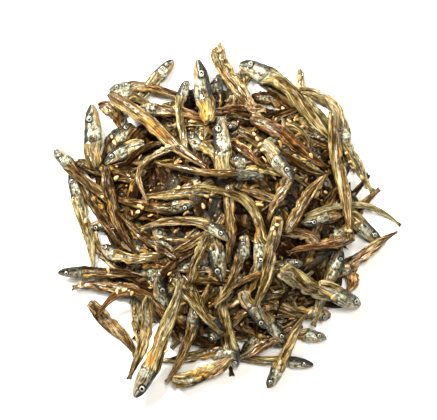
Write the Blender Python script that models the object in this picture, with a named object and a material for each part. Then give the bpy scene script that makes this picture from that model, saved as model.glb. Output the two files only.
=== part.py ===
"""A heap of dried, glazed anchovies with sesame seeds, as it lies on a table.

The heap is one solid: a low mound in the middle, and fused to it every fish that shows from above, at
its true size and with few sides, and the larger groups of sesame seeds. Each fish is given by where its
snout, middle and tail lie in plan. Its height follows from that: the fish are laid one after another,
the lowest first, and each bends down onto what already lies there.

Units are metres, +Z is up. The table is at z = 0 and the heap's outline is centred on the origin.
"""
import math

import bmesh
import bpy
import numpy as np

MM = 0.001
NODE_NAME = "anchovy_heap"

# A fish of 52 mm is 104 pixels long in the photograph, which looks straight down.
PIXEL = 0.5 * MM
HEAP_CENTRE_PX = (228.4, 218.7)

HEAD_HALF_DEPTH = 3.5 * MM      # of a fish with girth 1, from its side to its spine
MOUND_RADIUS = 60 * MM
MOUND_HEIGHT = 27 * MM
MOUND_LUMP = 0.10               # of the mound's height
STICKS_IN = 0.6 * MM            # how far the glaze lets one fish sink into the next
GIVES_WAY = 1.0 * MM            # how far a high spot underneath is pressed aside
CLEAR_OF_TABLE = 0.2 * MM       # under the fish at the rim, as only the mound's underside is flat

FISH_RINGS = (0.0, 0.06, 0.20, 0.45, 0.75, 1.0)     # where a fish has a section, from snout to tail
FISH_SIDES = 6
SEED_HALF_SIZE = (1.45 * MM, 0.85 * MM, 0.6 * MM)

# Half depth and half thickness along the fish, from the snout (0) to the tail (1), as shares of the
# head's half depth.
WITH_HEAD = (
    (0.00, 0.18, 0.16),
    (0.02, 0.44, 0.31),
    (0.06, 0.70, 0.44),
    (0.11, 0.88, 0.54),
    (0.18, 1.00, 0.62),
    (0.25, 1.00, 0.62),
    (0.32, 0.94, 0.58),
    (0.45, 0.86, 0.53),
    (0.60, 0.74, 0.46),
    (0.75, 0.57, 0.37),
    (0.90, 0.36, 0.24),
    (1.00, 0.20, 0.12),
)
FRONT_HALF = (
    (0.00, 0.18, 0.16),
    (0.05, 0.44, 0.31),
    (0.14, 0.70, 0.44),
    (0.26, 0.88, 0.54),
    (0.43, 1.00, 0.62),
    (0.60, 1.00, 0.62),
    (0.76, 0.94, 0.58),
    (0.90, 0.84, 0.50),
    (1.00, 0.45, 0.28),
)
BODY_ONLY = (
    (0.00, 0.30, 0.22),
    (0.04, 0.66, 0.46),
    (0.30, 0.86, 0.58),
    (0.50, 0.82, 0.52),
    (0.75, 0.60, 0.40),
    (0.90, 0.40, 0.26),
    (1.00, 0.20, 0.12),
)

SHOWN_FISH = (
    ("crown_head", (173, 59), (152, 82), (116, 122), 1.0, 0, WITH_HEAD),
    ("north_dark_head", (217, 74), (216, 106), (203, 160), 0.9, 50, WITH_HEAD),
    ("north_east_stub", (300, 68), (301, 90), (306, 130), 0.8, 0, BODY_ONLY),
    ("north_notch_log", (252, 97), (278, 101), (305, 115), 1.15, 20, BODY_ONLY),
    ("north_notch_lower", (274, 111), (294, 119), (319, 134), 1.0, 0, BODY_ONLY),
    ("east_rim_arc", (342, 180), (348, 142), (338, 108), 0.9, 30, WITH_HEAD),
    ("east_seeded_edge", (338, 122), (353, 158), (375, 191), 1.1, 20, WITH_HEAD),
    ("south_east_amber", (349, 262), (353, 277), (349, 293), 1.3, 0, BODY_ONLY),
    ("south_east_seeded_head", (331, 317), (292, 309), (250, 298), 1.1, 0, WITH_HEAD),
    ("south_east_snout", (327, 339), (290, 331), (246, 318), 1.0, 0, WITH_HEAD),
    ("south_shore", (314, 366), (272, 361), (214, 359), 1.0, 30, WITH_HEAD),
    ("south_upper_body", (234, 349), (196, 357), (157, 362), 1.0, -20, WITH_HEAD),
    ("south_brown", (295, 322), (264, 346), (231, 360), 1.0, 0, BODY_ONLY),
    ("south_west_slab", (88, 303), (111, 325), (136, 356), 1.25, 0, BODY_ONLY),
    ("south_west_olive", (137, 288), (139, 320), (139, 354), 1.45, 10, BODY_ONLY),
    ("west_ragged", (140, 290), (104, 286), (71, 288), 1.1, 20, BODY_ONLY),
    ("west_dark_bow", (124, 270), (99, 250), (95, 222), 0.9, 40, BODY_ONLY),
    ("west_inner_head", (86, 228), (105, 224), (126, 218), 0.95, 0, FRONT_HALF),
    ("north_west_dark_head", (119, 128), (103, 156), (98, 200), 0.9, 40, WITH_HEAD),
    ("north_west_corner_log", (98, 106), (112, 111), (126, 134), 1.2, 20, BODY_ONLY),
    ("north_west_cream_head", (131, 123), (119, 138), (107, 153), 1.0, 0, FRONT_HALF),
    ("west_dark_log", (76, 161), (108, 172), (150, 186), 1.2, 30, BODY_ONLY),
    ("north_olive_log", (238, 129), (202, 123), (168, 128), 1.0, 0, WITH_HEAD),
    ("north_red_chunk", (262, 112), (232, 112), (200, 116), 1.1, 30, BODY_ONLY),
    ("north_east_dark_log", (226, 120), (266, 118), (302, 108), 1.0, 20, BODY_ONLY),
    ("centre_north_white", (189, 137), (210, 154), (243, 180), 1.0, 0, WITH_HEAD),
    ("centre_silver", (227, 159), (256, 168), (302, 180), 1.0, 0, WITH_HEAD),
    ("east_head_in_gap", (300, 223), (321, 218), (341, 211), 1.0, 0, FRONT_HALF),
    ("centre_low_amber", (262, 252), (247, 287), (220, 307), 1.1, -30, BODY_ONLY),
    ("centre_low_crossing", (300, 262), (268, 268), (232, 285), 1.0, 55, WITH_HEAD),
    ("south_inner_head", (285, 342), (273, 327), (259, 310), 0.95, 0, FRONT_HALF),
    ("south_centre_dark", (210, 340), (232, 320), (262, 300), 1.0, 20, WITH_HEAD),
    ("centre_west_dark", (128, 262), (158, 262), (196, 270), 1.0, 20, WITH_HEAD),
    ("centre_west_log", (152, 280), (176, 262), (204, 238), 1.0, 30, WITH_HEAD),
    ("north_west_upper", (109, 90), (146, 88), (196, 99), 1.0, 0, WITH_HEAD),
    ("north_west_second", (111, 97), (140, 101), (178, 124), 1.0, 20, WITH_HEAD),
    ("north_west_eye_head", (139, 110), (172, 113), (214, 122), 1.0, 0, WITH_HEAD),
    ("north_green_head", (188, 81), (181, 114), (189, 164), 0.85, 10, WITH_HEAD),
    ("north_tall_body", (217, 47), (230, 78), (263, 122), 1.35, 0, BODY_ONLY),
    ("north_spike", (224, 62), (221, 50), (219, 39.4), 0.55, 0, BODY_ONLY),
    ("north_east_inner_log", (292, 98), (316, 110), (334, 140), 1.2, 30, BODY_ONLY),
    ("north_east_arc", (298, 92), (328, 99), (343, 132), 1.1, 20, BODY_ONLY),
    ("north_cream_chunk", (245, 106), (254, 109), (265, 113), 0.9, 0, BODY_ONLY),
    ("north_east_hidden_head", (328, 137), (302, 110), (264, 84), 1.0, 0, WITH_HEAD),
    ("north_east_golden", (322, 163), (293, 145), (282, 118), 1.0, -20, WITH_HEAD),
    ("east_brown_stub", (328, 244), (356, 214), (381, 188), 1.0, 10, WITH_HEAD),
    ("east_eye_head", (382, 243), (364, 228), (344, 212), 1.15, 0, FRONT_HALF),
    ("east_thin_arc", (303, 217), (356, 205), (403, 226), 0.62, 0, BODY_ONLY),
    ("east_brown_pointer", (332, 276), (368, 252), (399, 231), 1.1, 15, WITH_HEAD),
    ("south_east_silver_head", (342, 251), (328, 281), (312, 326), 1.05, 0, WITH_HEAD),
    ("east_red_arc", (318, 247), (296, 232), (270, 236), 1.0, 20, BODY_ONLY),
    ("east_red_log", (353, 238), (324, 243), (284, 252), 1.0, 20, BODY_ONLY),
    ("west_outer_fish", (70, 171), (84, 222), (93, 272), 1.15, 0, WITH_HEAD),
    ("west_purple_body", (80, 174), (101, 214), (127, 250), 1.2, 30, BODY_ONLY),
    ("west_eye_head", (102, 246), (136, 258), (172, 250), 1.05, 0, WITH_HEAD),
    ("north_west_white_head", (105, 164), (122, 152), (145, 145), 1.0, 0, FRONT_HALF),
    ("centre_mid_head", (195, 203), (160, 208), (112, 196), 1.0, 0, WITH_HEAD),
    ("centre_wave_left", (226, 193), (186, 193), (148, 198), 1.05, 10, BODY_ONLY),
    ("centre_eye_head", (221, 279), (217, 254), (213, 227), 1.25, 0, FRONT_HALF),
    ("centre_silver_strip", (226, 226), (192, 242), (166, 256), 0.9, 30, BODY_ONLY),
    ("south_west_big_eye", (160, 276), (164, 298), (172, 326), 1.25, 0, FRONT_HALF),
    ("south_west_arch", (174, 324), (131, 290), (97, 318), 0.85, 10, BODY_ONLY),
    ("south_blue_fish", (236, 367), (228, 332), (222, 284), 1.25, 20, WITH_HEAD),
    ("south_centre_purple", (222, 330), (202, 304), (190, 278), 1.0, 40, WITH_HEAD),
    ("south_cream_head", (267, 327), (254, 309), (241, 288), 1.1, 0, FRONT_HALF),
    ("south_long_tail", (196, 302), (187, 344), (165, 383), 0.95, 20, WITH_HEAD),
    ("south_bow", (172, 379), (206, 374), (230, 354), 1.55, 0, BODY_ONLY),
    ("centre_grey", (292, 168), (276, 199), (266, 223), 0.95, 20, BODY_ONLY),
    ("centre_brown", (210, 128), (240, 150), (265, 169), 1.0, 20, BODY_ONLY),
    ("north_east_lower_log", (238, 130), (280, 158), (324, 176), 1.1, 20, BODY_ONLY),
    ("north_west_corner_fish", (91, 104), (92, 132), (96, 168), 1.35, 0, FRONT_HALF),
    ("west_high_head", (54, 150), (80, 175), (120, 212), 1.1, 20, WITH_HEAD),
    ("west_shore_head", (58, 273), (98, 272), (152, 276), 0.95, 30, WITH_HEAD),
    ("south_west_split_tail", (150, 294), (145, 336), (129, 381), 1.1, 10, BODY_ONLY),
    ("centre_vertical_head", (218, 120), (222, 146), (225, 180), 1.25, 0, FRONT_HALF),
    ("centre_white_head", (290, 180), (277, 164), (260, 145), 1.15, 0, FRONT_HALF),
    ("west_curve", (107, 166), (115, 212), (140, 254), 1.05, 20, BODY_ONLY),
    ("west_thin_cross", (178, 257), (147, 237), (118, 212), 0.75, 20, BODY_ONLY),
    ("north_west_split_fish", (111, 95), (157, 131), (208, 170), 1.25, -10, BODY_ONLY),
    ("centre_kinked", (180, 147), (143, 169), (150, 202), 0.6, 0, BODY_ONLY),
    ("centre_two_eyes", (262, 178), (206, 173), (158, 166), 1.05, 70, WITH_HEAD),
    ("north_east_long_body", (250, 119), (290, 143), (325, 169), 1.2, 20, BODY_ONLY),
    ("east_slanting_body", (283, 232), (305, 198), (327, 170), 1.05, 10, BODY_ONLY),
    ("north_big_head", (198, 60), (203, 90), (208, 126), 1.35, 10, FRONT_HALF),
    ("north_east_big_fish", (240, 63), (287, 91), (333, 143), 1.45, 0, WITH_HEAD),
    ("east_upright_body", (331, 112), (338, 165), (351, 240), 1.2, 10, BODY_ONLY),
    ("centre_upright", (229, 186), (230, 226), (229, 262), 1.0, 20, BODY_ONLY),
    ("centre_arc", (256, 268), (254, 214), (211, 191), 1.1, 10, WITH_HEAD),
    ("centre_leaning_fish", (228, 239), (190, 220), (142, 230), 0.85, 10, WITH_HEAD),
    ("centre_green_body", (275, 216), (269, 252), (255, 304), 1.15, 10, BODY_ONLY),
    ("centre_pale_body", (243, 234), (237, 267), (214, 305), 1.0, 10, WITH_HEAD),
    ("centre_straw", (207, 232), (197, 259), (183, 296), 0.85, 0, BODY_ONLY),
    ("south_diagonal", (174, 276), (195, 302), (221, 331), 0.9, 20, BODY_ONLY),
    ("south_east_big_fish", (278, 270), (312, 286), (352, 303), 1.7, 10, BODY_ONLY),
    ("south_east_big_head", (361, 305), (340, 296), (316, 284), 1.3, 0, FRONT_HALF),
    ("south_east_standing", (268, 389), (286, 352), (306, 311), 1.0, 10, WITH_HEAD),
    ("south_west_long_fish", (135, 397), (164, 336), (181, 276), 1.35, 0, WITH_HEAD),
)

# Sesame seeds large and bare enough to show from a step away, in pixels of the photograph.
SHOWN_SEEDS = (
    (164, 150), (169, 148), (115, 143), (139, 212), (207, 197), (213, 195), (251, 188), (274, 224),
    (317, 194), (362, 177), (347, 153), (353, 168), (283, 108), (275, 121), (287, 125), (253, 136),
    (256, 141), (347, 266), (320, 313), (326, 313), (300, 77), (242, 323), (109, 270), (80, 283),
)


def plan_place(pixel):
    """Where a pixel of the photograph lies on the table."""
    return np.array([(pixel[0] - HEAP_CENTRE_PX[0]) * PIXEL, (HEAP_CENTRE_PX[1] - pixel[1]) * PIXEL])


def mound_height(x, y):
    """The height of the mound that the shown fish lie on."""
    outward = np.hypot(x, y) / MOUND_RADIUS
    lumps = 1 + MOUND_LUMP * np.sin(x / (5 * MM) + 1) * np.sin(y / (4 * MM) + 2)
    return MOUND_HEIGHT * np.clip(1 - outward ** 2, 0, 1) ** 0.75 * lumps


class Fish:
    """One fish: a curve in plan, a bent height along it, and an oval section that tapers."""

    def __init__(self, name, snout, middle, tail, girth, roll, shape):
        self.name = name
        self.snout, self.middle, self.tail = plan_place(snout), plan_place(middle), plan_place(tail)
        self.girth = girth * HEAD_HALF_DEPTH
        self.roll = math.radians(roll)
        self.shape = shape
        self.bend = np.zeros(4)

    def line(self, along):
        """Plan points of the spine, and the direction across it at each."""
        pull = 2 * self.middle - (self.snout + self.tail) / 2
        t = along[:, None]
        points = (1 - t) ** 2 * self.snout + 2 * t * (1 - t) * pull + t ** 2 * self.tail
        heading = (1 - t) * (pull - self.snout) + t * (self.tail - pull)
        heading /= np.linalg.norm(heading, axis=1)[:, None]
        return points, np.stack([-heading[:, 1], heading[:, 0]], axis=1)

    def half_sizes(self, along):
        """Half the width seen from above and half the height, with the fish rolled about its length."""
        place, depth, thickness = zip(*self.shape)
        deep = np.interp(along, place, depth) * self.girth
        thick = np.interp(along, place, thickness) * self.girth
        on_side, on_back = math.cos(self.roll), math.sin(self.roll)
        return np.hypot(deep * on_side, thick * on_back), np.hypot(deep * on_back, thick * on_side)

    def height(self, along):
        """Height of the spine above the table: a cubic about the fish's middle."""
        t = 2 * along - 1
        return self.bend @ np.stack([np.ones_like(t), t, t ** 2, t ** 3])


class Ground:
    """The height of everything laid so far, on a square grid."""

    CELL = 0.5 * MM
    REACH = 105 * MM

    def __init__(self):
        self.count = round(2 * self.REACH / self.CELL)
        centres = (np.arange(self.count) + 0.5) * self.CELL - self.REACH
        x, y = np.meshgrid(centres, centres, indexing="ij")
        self.top = mound_height(x, y)

    def cells(self, points):
        index = ((points + self.REACH) / self.CELL).astype(int).clip(0, self.count - 1)
        return index[:, 0], index[:, 1]

    def under(self, fish, along):
        """The lowest height at which the spine clears what lies under each place along a fish."""
        points, across = fish.line(along)
        half_width, half_height = fish.half_sizes(along)
        needed = half_height.copy()
        for share in (-0.85, -0.5, 0.0, 0.5, 0.85):
            side = points + across * (share * half_width)[:, None]
            needed = np.maximum(needed, self.top[self.cells(side)] + half_height * math.sqrt(1 - share ** 2))
        return needed

    def cover(self, fish):
        """Raises the ground to the top of a fish that has been laid."""
        along = np.linspace(0, 1, 140)
        points, across = fish.line(along)
        half_width, half_height = fish.half_sizes(along)
        for share in np.linspace(-1, 1, 17):
            cells = self.cells(points + across * (share * half_width)[:, None])
            top = fish.height(along) + half_height * math.sqrt(1 - share ** 2)
            np.maximum.at(self.top, cells, top)


def settle(fish, ground):
    """Bends a fish down onto the ground: the stiff curve nearest to it, raised until it clears it."""
    along = np.linspace(0, 1, 17)
    t = 2 * along - 1
    curves = np.stack([np.ones_like(t), t, t ** 2, t ** 3], axis=1)
    stiffness = np.diag([0.0, 1.2, 2.0, 3.0])
    needed = ground.under(fish, along) - STICKS_IN
    fish.bend = np.linalg.solve(curves.T @ curves + stiffness, curves.T @ needed)
    off_ground = np.max(needed - fish.height(along)) - GIVES_WAY
    off_table = np.max(fish.half_sizes(along)[1] - fish.height(along)) + CLEAR_OF_TABLE
    fish.bend[0] += max(off_ground, off_table)


def lay_heap():
    """Every shown fish in its place, and the ground that they make."""
    ground = Ground()
    heap = [Fish(*entry) for entry in SHOWN_FISH]
    for fish in heap:
        settle(fish, ground)
        ground.cover(fish)
    return heap, ground


def new_object(name, mesh_data, collection):
    """Turns mesh data into a named object of a collection, with flat faces only."""
    mesh = bpy.data.meshes.new(name)
    bmesh.ops.triangulate(mesh_data, faces=mesh_data.faces[:])
    bmesh.ops.recalc_face_normals(mesh_data, faces=mesh_data.faces)
    mesh_data.to_mesh(mesh)
    mesh_data.free()
    item = bpy.data.objects.new(name, mesh)
    collection.objects.link(item)
    return item


def make_mound(collection):
    """The low mound in the middle: half a ball, pressed to the mound's height, with a flat underside."""
    data = bmesh.new()
    bmesh.ops.create_uvsphere(data, u_segments=24, v_segments=12, radius=MOUND_RADIUS)
    below = [vert for vert in data.verts if vert.co.z < -0.01 * MOUND_RADIUS]
    bmesh.ops.delete(data, geom=below, context="VERTS")
    bmesh.ops.holes_fill(data, edges=[edge for edge in data.edges if edge.is_boundary])
    for vert in data.verts:
        vert.co.z = float(mound_height(vert.co.x, vert.co.y))
    return new_object(NODE_NAME, data, collection)


def make_fish(fish, collection):
    """A loft through a few oval sections, bent as the fish lies."""
    along = np.array(FISH_RINGS)
    points, across = fish.line(along)
    half_width, half_height = fish.half_sizes(along)
    height = fish.height(along)
    data = bmesh.new()
    rings = []
    for k in range(len(along)):
        ring = []
        for side in range(FISH_SIDES):
            turn = 2 * math.pi * side / FISH_SIDES
            x, y = points[k] + across[k] * half_width[k] * math.cos(turn)
            z = height[k] + half_height[k] * math.sin(turn)
            ring.append(data.verts.new((x, y, z)))
        rings.append(ring)
    for lower, upper in zip(rings, rings[1:]):
        for side in range(FISH_SIDES):
            after = (side + 1) % FISH_SIDES
            data.faces.new((lower[side], lower[after], upper[after], upper[side]))
    data.faces.new(rings[0])
    data.faces.new(rings[-1])
    return new_object(fish.name, data, collection)


def make_seed(number, pixel, ground, collection):
    """A sesame seed half sunk in the glaze, on top of whatever lies at its place."""
    place = plan_place(pixel)
    top = ground.top[ground.cells(place[None, :])][0]
    data = bmesh.new()
    bmesh.ops.create_icosphere(data, subdivisions=1, radius=1)
    bmesh.ops.scale(data, vec=SEED_HALF_SIZE, verts=data.verts)
    turn = math.radians(137.5 * number)
    for vert in data.verts:
        x, y = vert.co.x, vert.co.y
        vert.co.x = place[0] + x * math.cos(turn) - y * math.sin(turn)
        vert.co.y = place[1] + x * math.sin(turn) + y * math.cos(turn)
        vert.co.z += top
    return new_object(f"seed_{number}", data, collection)


def fuse(body, pieces):
    """Joins a collection of pieces to a body, and then removes the pieces."""
    union = body.modifiers.new("fuse_fish", "BOOLEAN")
    union.operation = "UNION"
    union.operand_type = "COLLECTION"
    union.collection = pieces
    union.solver = "MANIFOLD"
    bpy.context.view_layer.objects.active = body
    bpy.ops.object.modifier_apply(modifier=union.name)
    for item in list(pieces.objects):
        bpy.data.objects.remove(item)
    bpy.data.collections.remove(pieces)


def keep_outer_shell(body):
    """Drops every loose scrap and every hollow that the fish have closed off."""
    data = bmesh.new()
    data.from_mesh(body.data)
    left = set(data.faces)
    shells = []
    while left:
        to_visit = [left.pop()]
        shell = list(to_visit)
        while to_visit:
            for edge in to_visit.pop().edges:
                if len(edge.link_faces) != 2:
                    continue
                for face in edge.link_faces:
                    if face in left:
                        left.remove(face)
                        shell.append(face)
                        to_visit.append(face)
        shells.append(shell)
    shells.sort(key=len)
    dropped = [face for shell in shells[:-1] for face in shell]
    print(f"shells dropped: {len(shells) - 1}")
    bmesh.ops.delete(data, geom=dropped, context="FACES")
    bmesh.ops.triangulate(data, faces=data.faces[:])
    data.to_mesh(body.data)
    data.free()


def centre_outline(body):
    """Moves the mesh so that its outline is centred on the origin and its underside is on the table."""
    places = np.array([vert.co for vert in body.data.vertices])
    low, high = places.min(axis=0), places.max(axis=0)
    shift = (-(low[0] + high[0]) / 2, -(low[1] + high[1]) / 2, -low[2])
    print(f"shifted by {np.round(np.array(shift) / MM, 3)} mm, size {np.round((high - low) / MM, 1)} mm")
    for vert in body.data.vertices:
        vert.co.x += shift[0]
        vert.co.y += shift[1]
        vert.co.z += shift[2]


def glazed_fish_skin():
    """Dried fish skin under a thin, shiny sugar glaze."""
    skin = bpy.data.materials.new("glazed_fish_skin")
    skin.use_nodes = True
    shader = skin.node_tree.nodes["Principled BSDF"]
    shader.inputs["Base Color"].default_value = (0.23, 0.15, 0.065, 1.0)
    shader.inputs["Roughness"].default_value = 0.35
    shader.inputs["Metallic"].default_value = 0.0
    return skin


def main():
    for item in list(bpy.data.objects):
        bpy.data.objects.remove(item)
    parts = bpy.data.collections.new("dried_anchovies")
    pieces = bpy.data.collections.new("heap_pieces")
    bpy.context.scene.collection.children.link(parts)
    bpy.context.scene.collection.children.link(pieces)

    heap, ground = lay_heap()
    body = make_mound(parts)
    made = [make_fish(fish, pieces) for fish in heap]
    made += [make_seed(k, pixel, ground, pieces) for k, pixel in enumerate(SHOWN_SEEDS)]
    for piece in made:
        piece.hide_render = True
        piece.display_type = "WIRE"
    fuse(body, pieces)
    keep_outer_shell(body)
    centre_outline(body)
    body.data.materials.clear()
    body.data.materials.append(glazed_fish_skin())
    print(f"{NODE_NAME}: {len(body.data.polygons)} triangles")


main()
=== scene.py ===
# %% [markdown]
# # A heap of dried anchovies
# Small anchovies, dried whole and tossed in a sweet glaze with sesame seeds, lie in a loose round heap
# about 175 mm across. The solid model already says where the heap is and how far it reaches. This lesson
# replaces that few-sided solid with the real fish: their heads and eyes, shrivelled flanks, glaze and
# seeds. Everything is in metres, with the table at z = 0.

# %% Load the solid model
import math
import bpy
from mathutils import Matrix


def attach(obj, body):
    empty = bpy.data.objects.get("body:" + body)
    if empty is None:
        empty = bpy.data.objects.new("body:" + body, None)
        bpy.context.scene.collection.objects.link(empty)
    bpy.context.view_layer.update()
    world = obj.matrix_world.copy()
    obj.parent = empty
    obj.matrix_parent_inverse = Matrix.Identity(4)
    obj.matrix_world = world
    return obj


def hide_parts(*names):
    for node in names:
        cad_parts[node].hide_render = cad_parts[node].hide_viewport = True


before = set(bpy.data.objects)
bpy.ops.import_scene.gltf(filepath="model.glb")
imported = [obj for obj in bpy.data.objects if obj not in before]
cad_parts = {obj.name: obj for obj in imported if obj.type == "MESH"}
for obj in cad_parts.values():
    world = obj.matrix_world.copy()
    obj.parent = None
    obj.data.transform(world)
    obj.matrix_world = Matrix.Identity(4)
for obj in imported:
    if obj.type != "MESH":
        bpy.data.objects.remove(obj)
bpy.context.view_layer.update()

from types import SimpleNamespace

import bmesh
import bpy
import numpy as np

MM = 0.001
HEAP_NODE = "anchovy_heap"


def show(name, data):
    """Puts an object that has this data into the scene."""
    item = bpy.data.objects.new(name, data)
    bpy.context.scene.collection.objects.link(item)
    return item


def finished_mesh(name, data):
    """A mesh made of what was drawn in a bmesh, which is freed."""
    mesh = bpy.data.meshes.new(name)
    data.to_mesh(mesh)
    data.free()
    return mesh


# %% [markdown]
# The camera comes first, because every later step is judged through it. The heap is seen from straight
# above, and a long lens keeps the fish at the rim from leaning outwards. The camera's height follows from
# the size of a pixel on the table, so places read from the picture can be used as they are.

# %% Camera
PIXEL = 0.5 * MM                    # one pixel of the picture on the table
PICTURE = (437, 420)
HEAP_CENTRE_PX = (228.4, 218.7)
LENS_MM = 100.0
SENSOR_MM = 36.0
RIM_LEVEL = 6 * MM                  # the level at which a pixel is exactly PIXEL wide


def plan_place(pixel):
    """Where a pixel of the picture lies on the table."""
    return np.array([(pixel[0] - HEAP_CENTRE_PX[0]) * PIXEL, (HEAP_CENTRE_PX[1] - pixel[1]) * PIXEL])


lens = bpy.data.cameras.new("overhead_lens")
lens.lens = LENS_MM
lens.sensor_width = SENSOR_MM
camera = show("overhead_camera", lens)
aim = plan_place((PICTURE[0] / 2, PICTURE[1] / 2))
distance = LENS_MM / SENSOR_MM * PICTURE[0] * PIXEL
camera.location = (aim[0], aim[1], distance + RIM_LEVEL)
bpy.context.scene.camera = camera
print("camera, mm above the table:", round((distance + RIM_LEVEL) / MM))

# %% [markdown]
# The floor is a plain pale sheet. The main lamp stands at the upper left, with weaker ones opposite and
# above, so that the wet glaze gets highlights along its ridges while the shadows between the fish stay
# soft. The sky is dim and warm, which keeps the deep gaps brown.

# %% Light and floor
LAMPS = (                           # name, place, size, watts and colour
    ("key_lamp", (-0.42, 0.46, 0.62), 0.17, 28.5, (1.0, 0.96, 0.89)),
    ("fill_lamp", (0.60, -0.30, 0.70), 0.50, 4.0, (1.0, 0.96, 0.88)),
    ("top_lamp", (0.10, 0.25, 0.90), 0.30, 7.5, (1.0, 0.955, 0.87)),
)
SKY_COLOUR = (1.0, 0.93, 0.80, 1.0)
SKY_STRENGTH = 0.055
PAPER_WHITE = (0.90, 0.90, 0.90, 1.0)
FLOOR_HALF_SIZE = 1.5


def area_lamp(name, place, size, power, colour):
    """A square lamp that faces the middle of the heap."""
    light = bpy.data.lights.new(name, "AREA")
    light.size = size
    light.energy = power
    light.color = colour
    lamp = show(name, light)
    lamp.location = place
    towards = -lamp.location.copy()
    lamp.rotation_euler = towards.to_track_quat("-Z", "Y").to_euler()


for lamp_settings in LAMPS:
    area_lamp(*lamp_settings)

sky = bpy.data.worlds.new("soft_studio")
sky.use_nodes = True
sky.node_tree.nodes["Background"].inputs["Color"].default_value = SKY_COLOUR
sky.node_tree.nodes["Background"].inputs["Strength"].default_value = SKY_STRENGTH
bpy.context.scene.world = sky
bpy.context.scene.view_settings.view_transform = "Standard"

floor_data = bmesh.new()
bmesh.ops.create_grid(floor_data, x_segments=2, y_segments=2, size=FLOOR_HALF_SIZE)
floor = show("floor", finished_mesh("floor", floor_data))
paper = bpy.data.materials.new("white_paper")
paper.use_nodes = True
paper.node_tree.nodes["Principled BSDF"].inputs["Base Color"].default_value = PAPER_WHITE
paper.node_tree.nodes["Principled BSDF"].inputs["Roughness"].default_value = 0.9
floor.data.materials.append(paper)

# %% [markdown]
# Every fish that shows from above is named here with the place of its snout, middle and tail, its girth,
# and how far it is rolled about its own length. They are listed from the lowest to the highest. The
# lengthwise shape is one of three: a whole fish, the front half of a broken fish, or a body whose head is
# broken off or hidden.

# %% The fish that show
HEAD_HALF_DEPTH = 3.5 * MM          # of a fish with girth 1

# place along the fish, half depth and half thickness as shares of the head's half depth
WITH_HEAD = (
    (0.00, 0.18, 0.16),
    (0.02, 0.44, 0.31),
    (0.06, 0.70, 0.44),
    (0.11, 0.88, 0.54),
    (0.18, 1.00, 0.62),
    (0.25, 1.00, 0.62),
    (0.32, 0.94, 0.58),
    (0.45, 0.86, 0.53),
    (0.60, 0.74, 0.46),
    (0.75, 0.57, 0.37),
    (0.90, 0.36, 0.24),
    (1.00, 0.20, 0.12),
)
FRONT_HALF = (
    (0.00, 0.18, 0.16),
    (0.05, 0.44, 0.31),
    (0.14, 0.70, 0.44),
    (0.26, 0.88, 0.54),
    (0.43, 1.00, 0.62),
    (0.60, 1.00, 0.62),
    (0.76, 0.94, 0.58),
    (0.90, 0.84, 0.50),
    (1.00, 0.45, 0.28),
)
BODY_ONLY = (
    (0.00, 0.30, 0.22),
    (0.04, 0.66, 0.46),
    (0.30, 0.86, 0.58),
    (0.50, 0.82, 0.52),
    (0.75, 0.60, 0.40),
    (0.90, 0.40, 0.26),
    (1.00, 0.20, 0.12),
)

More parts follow.
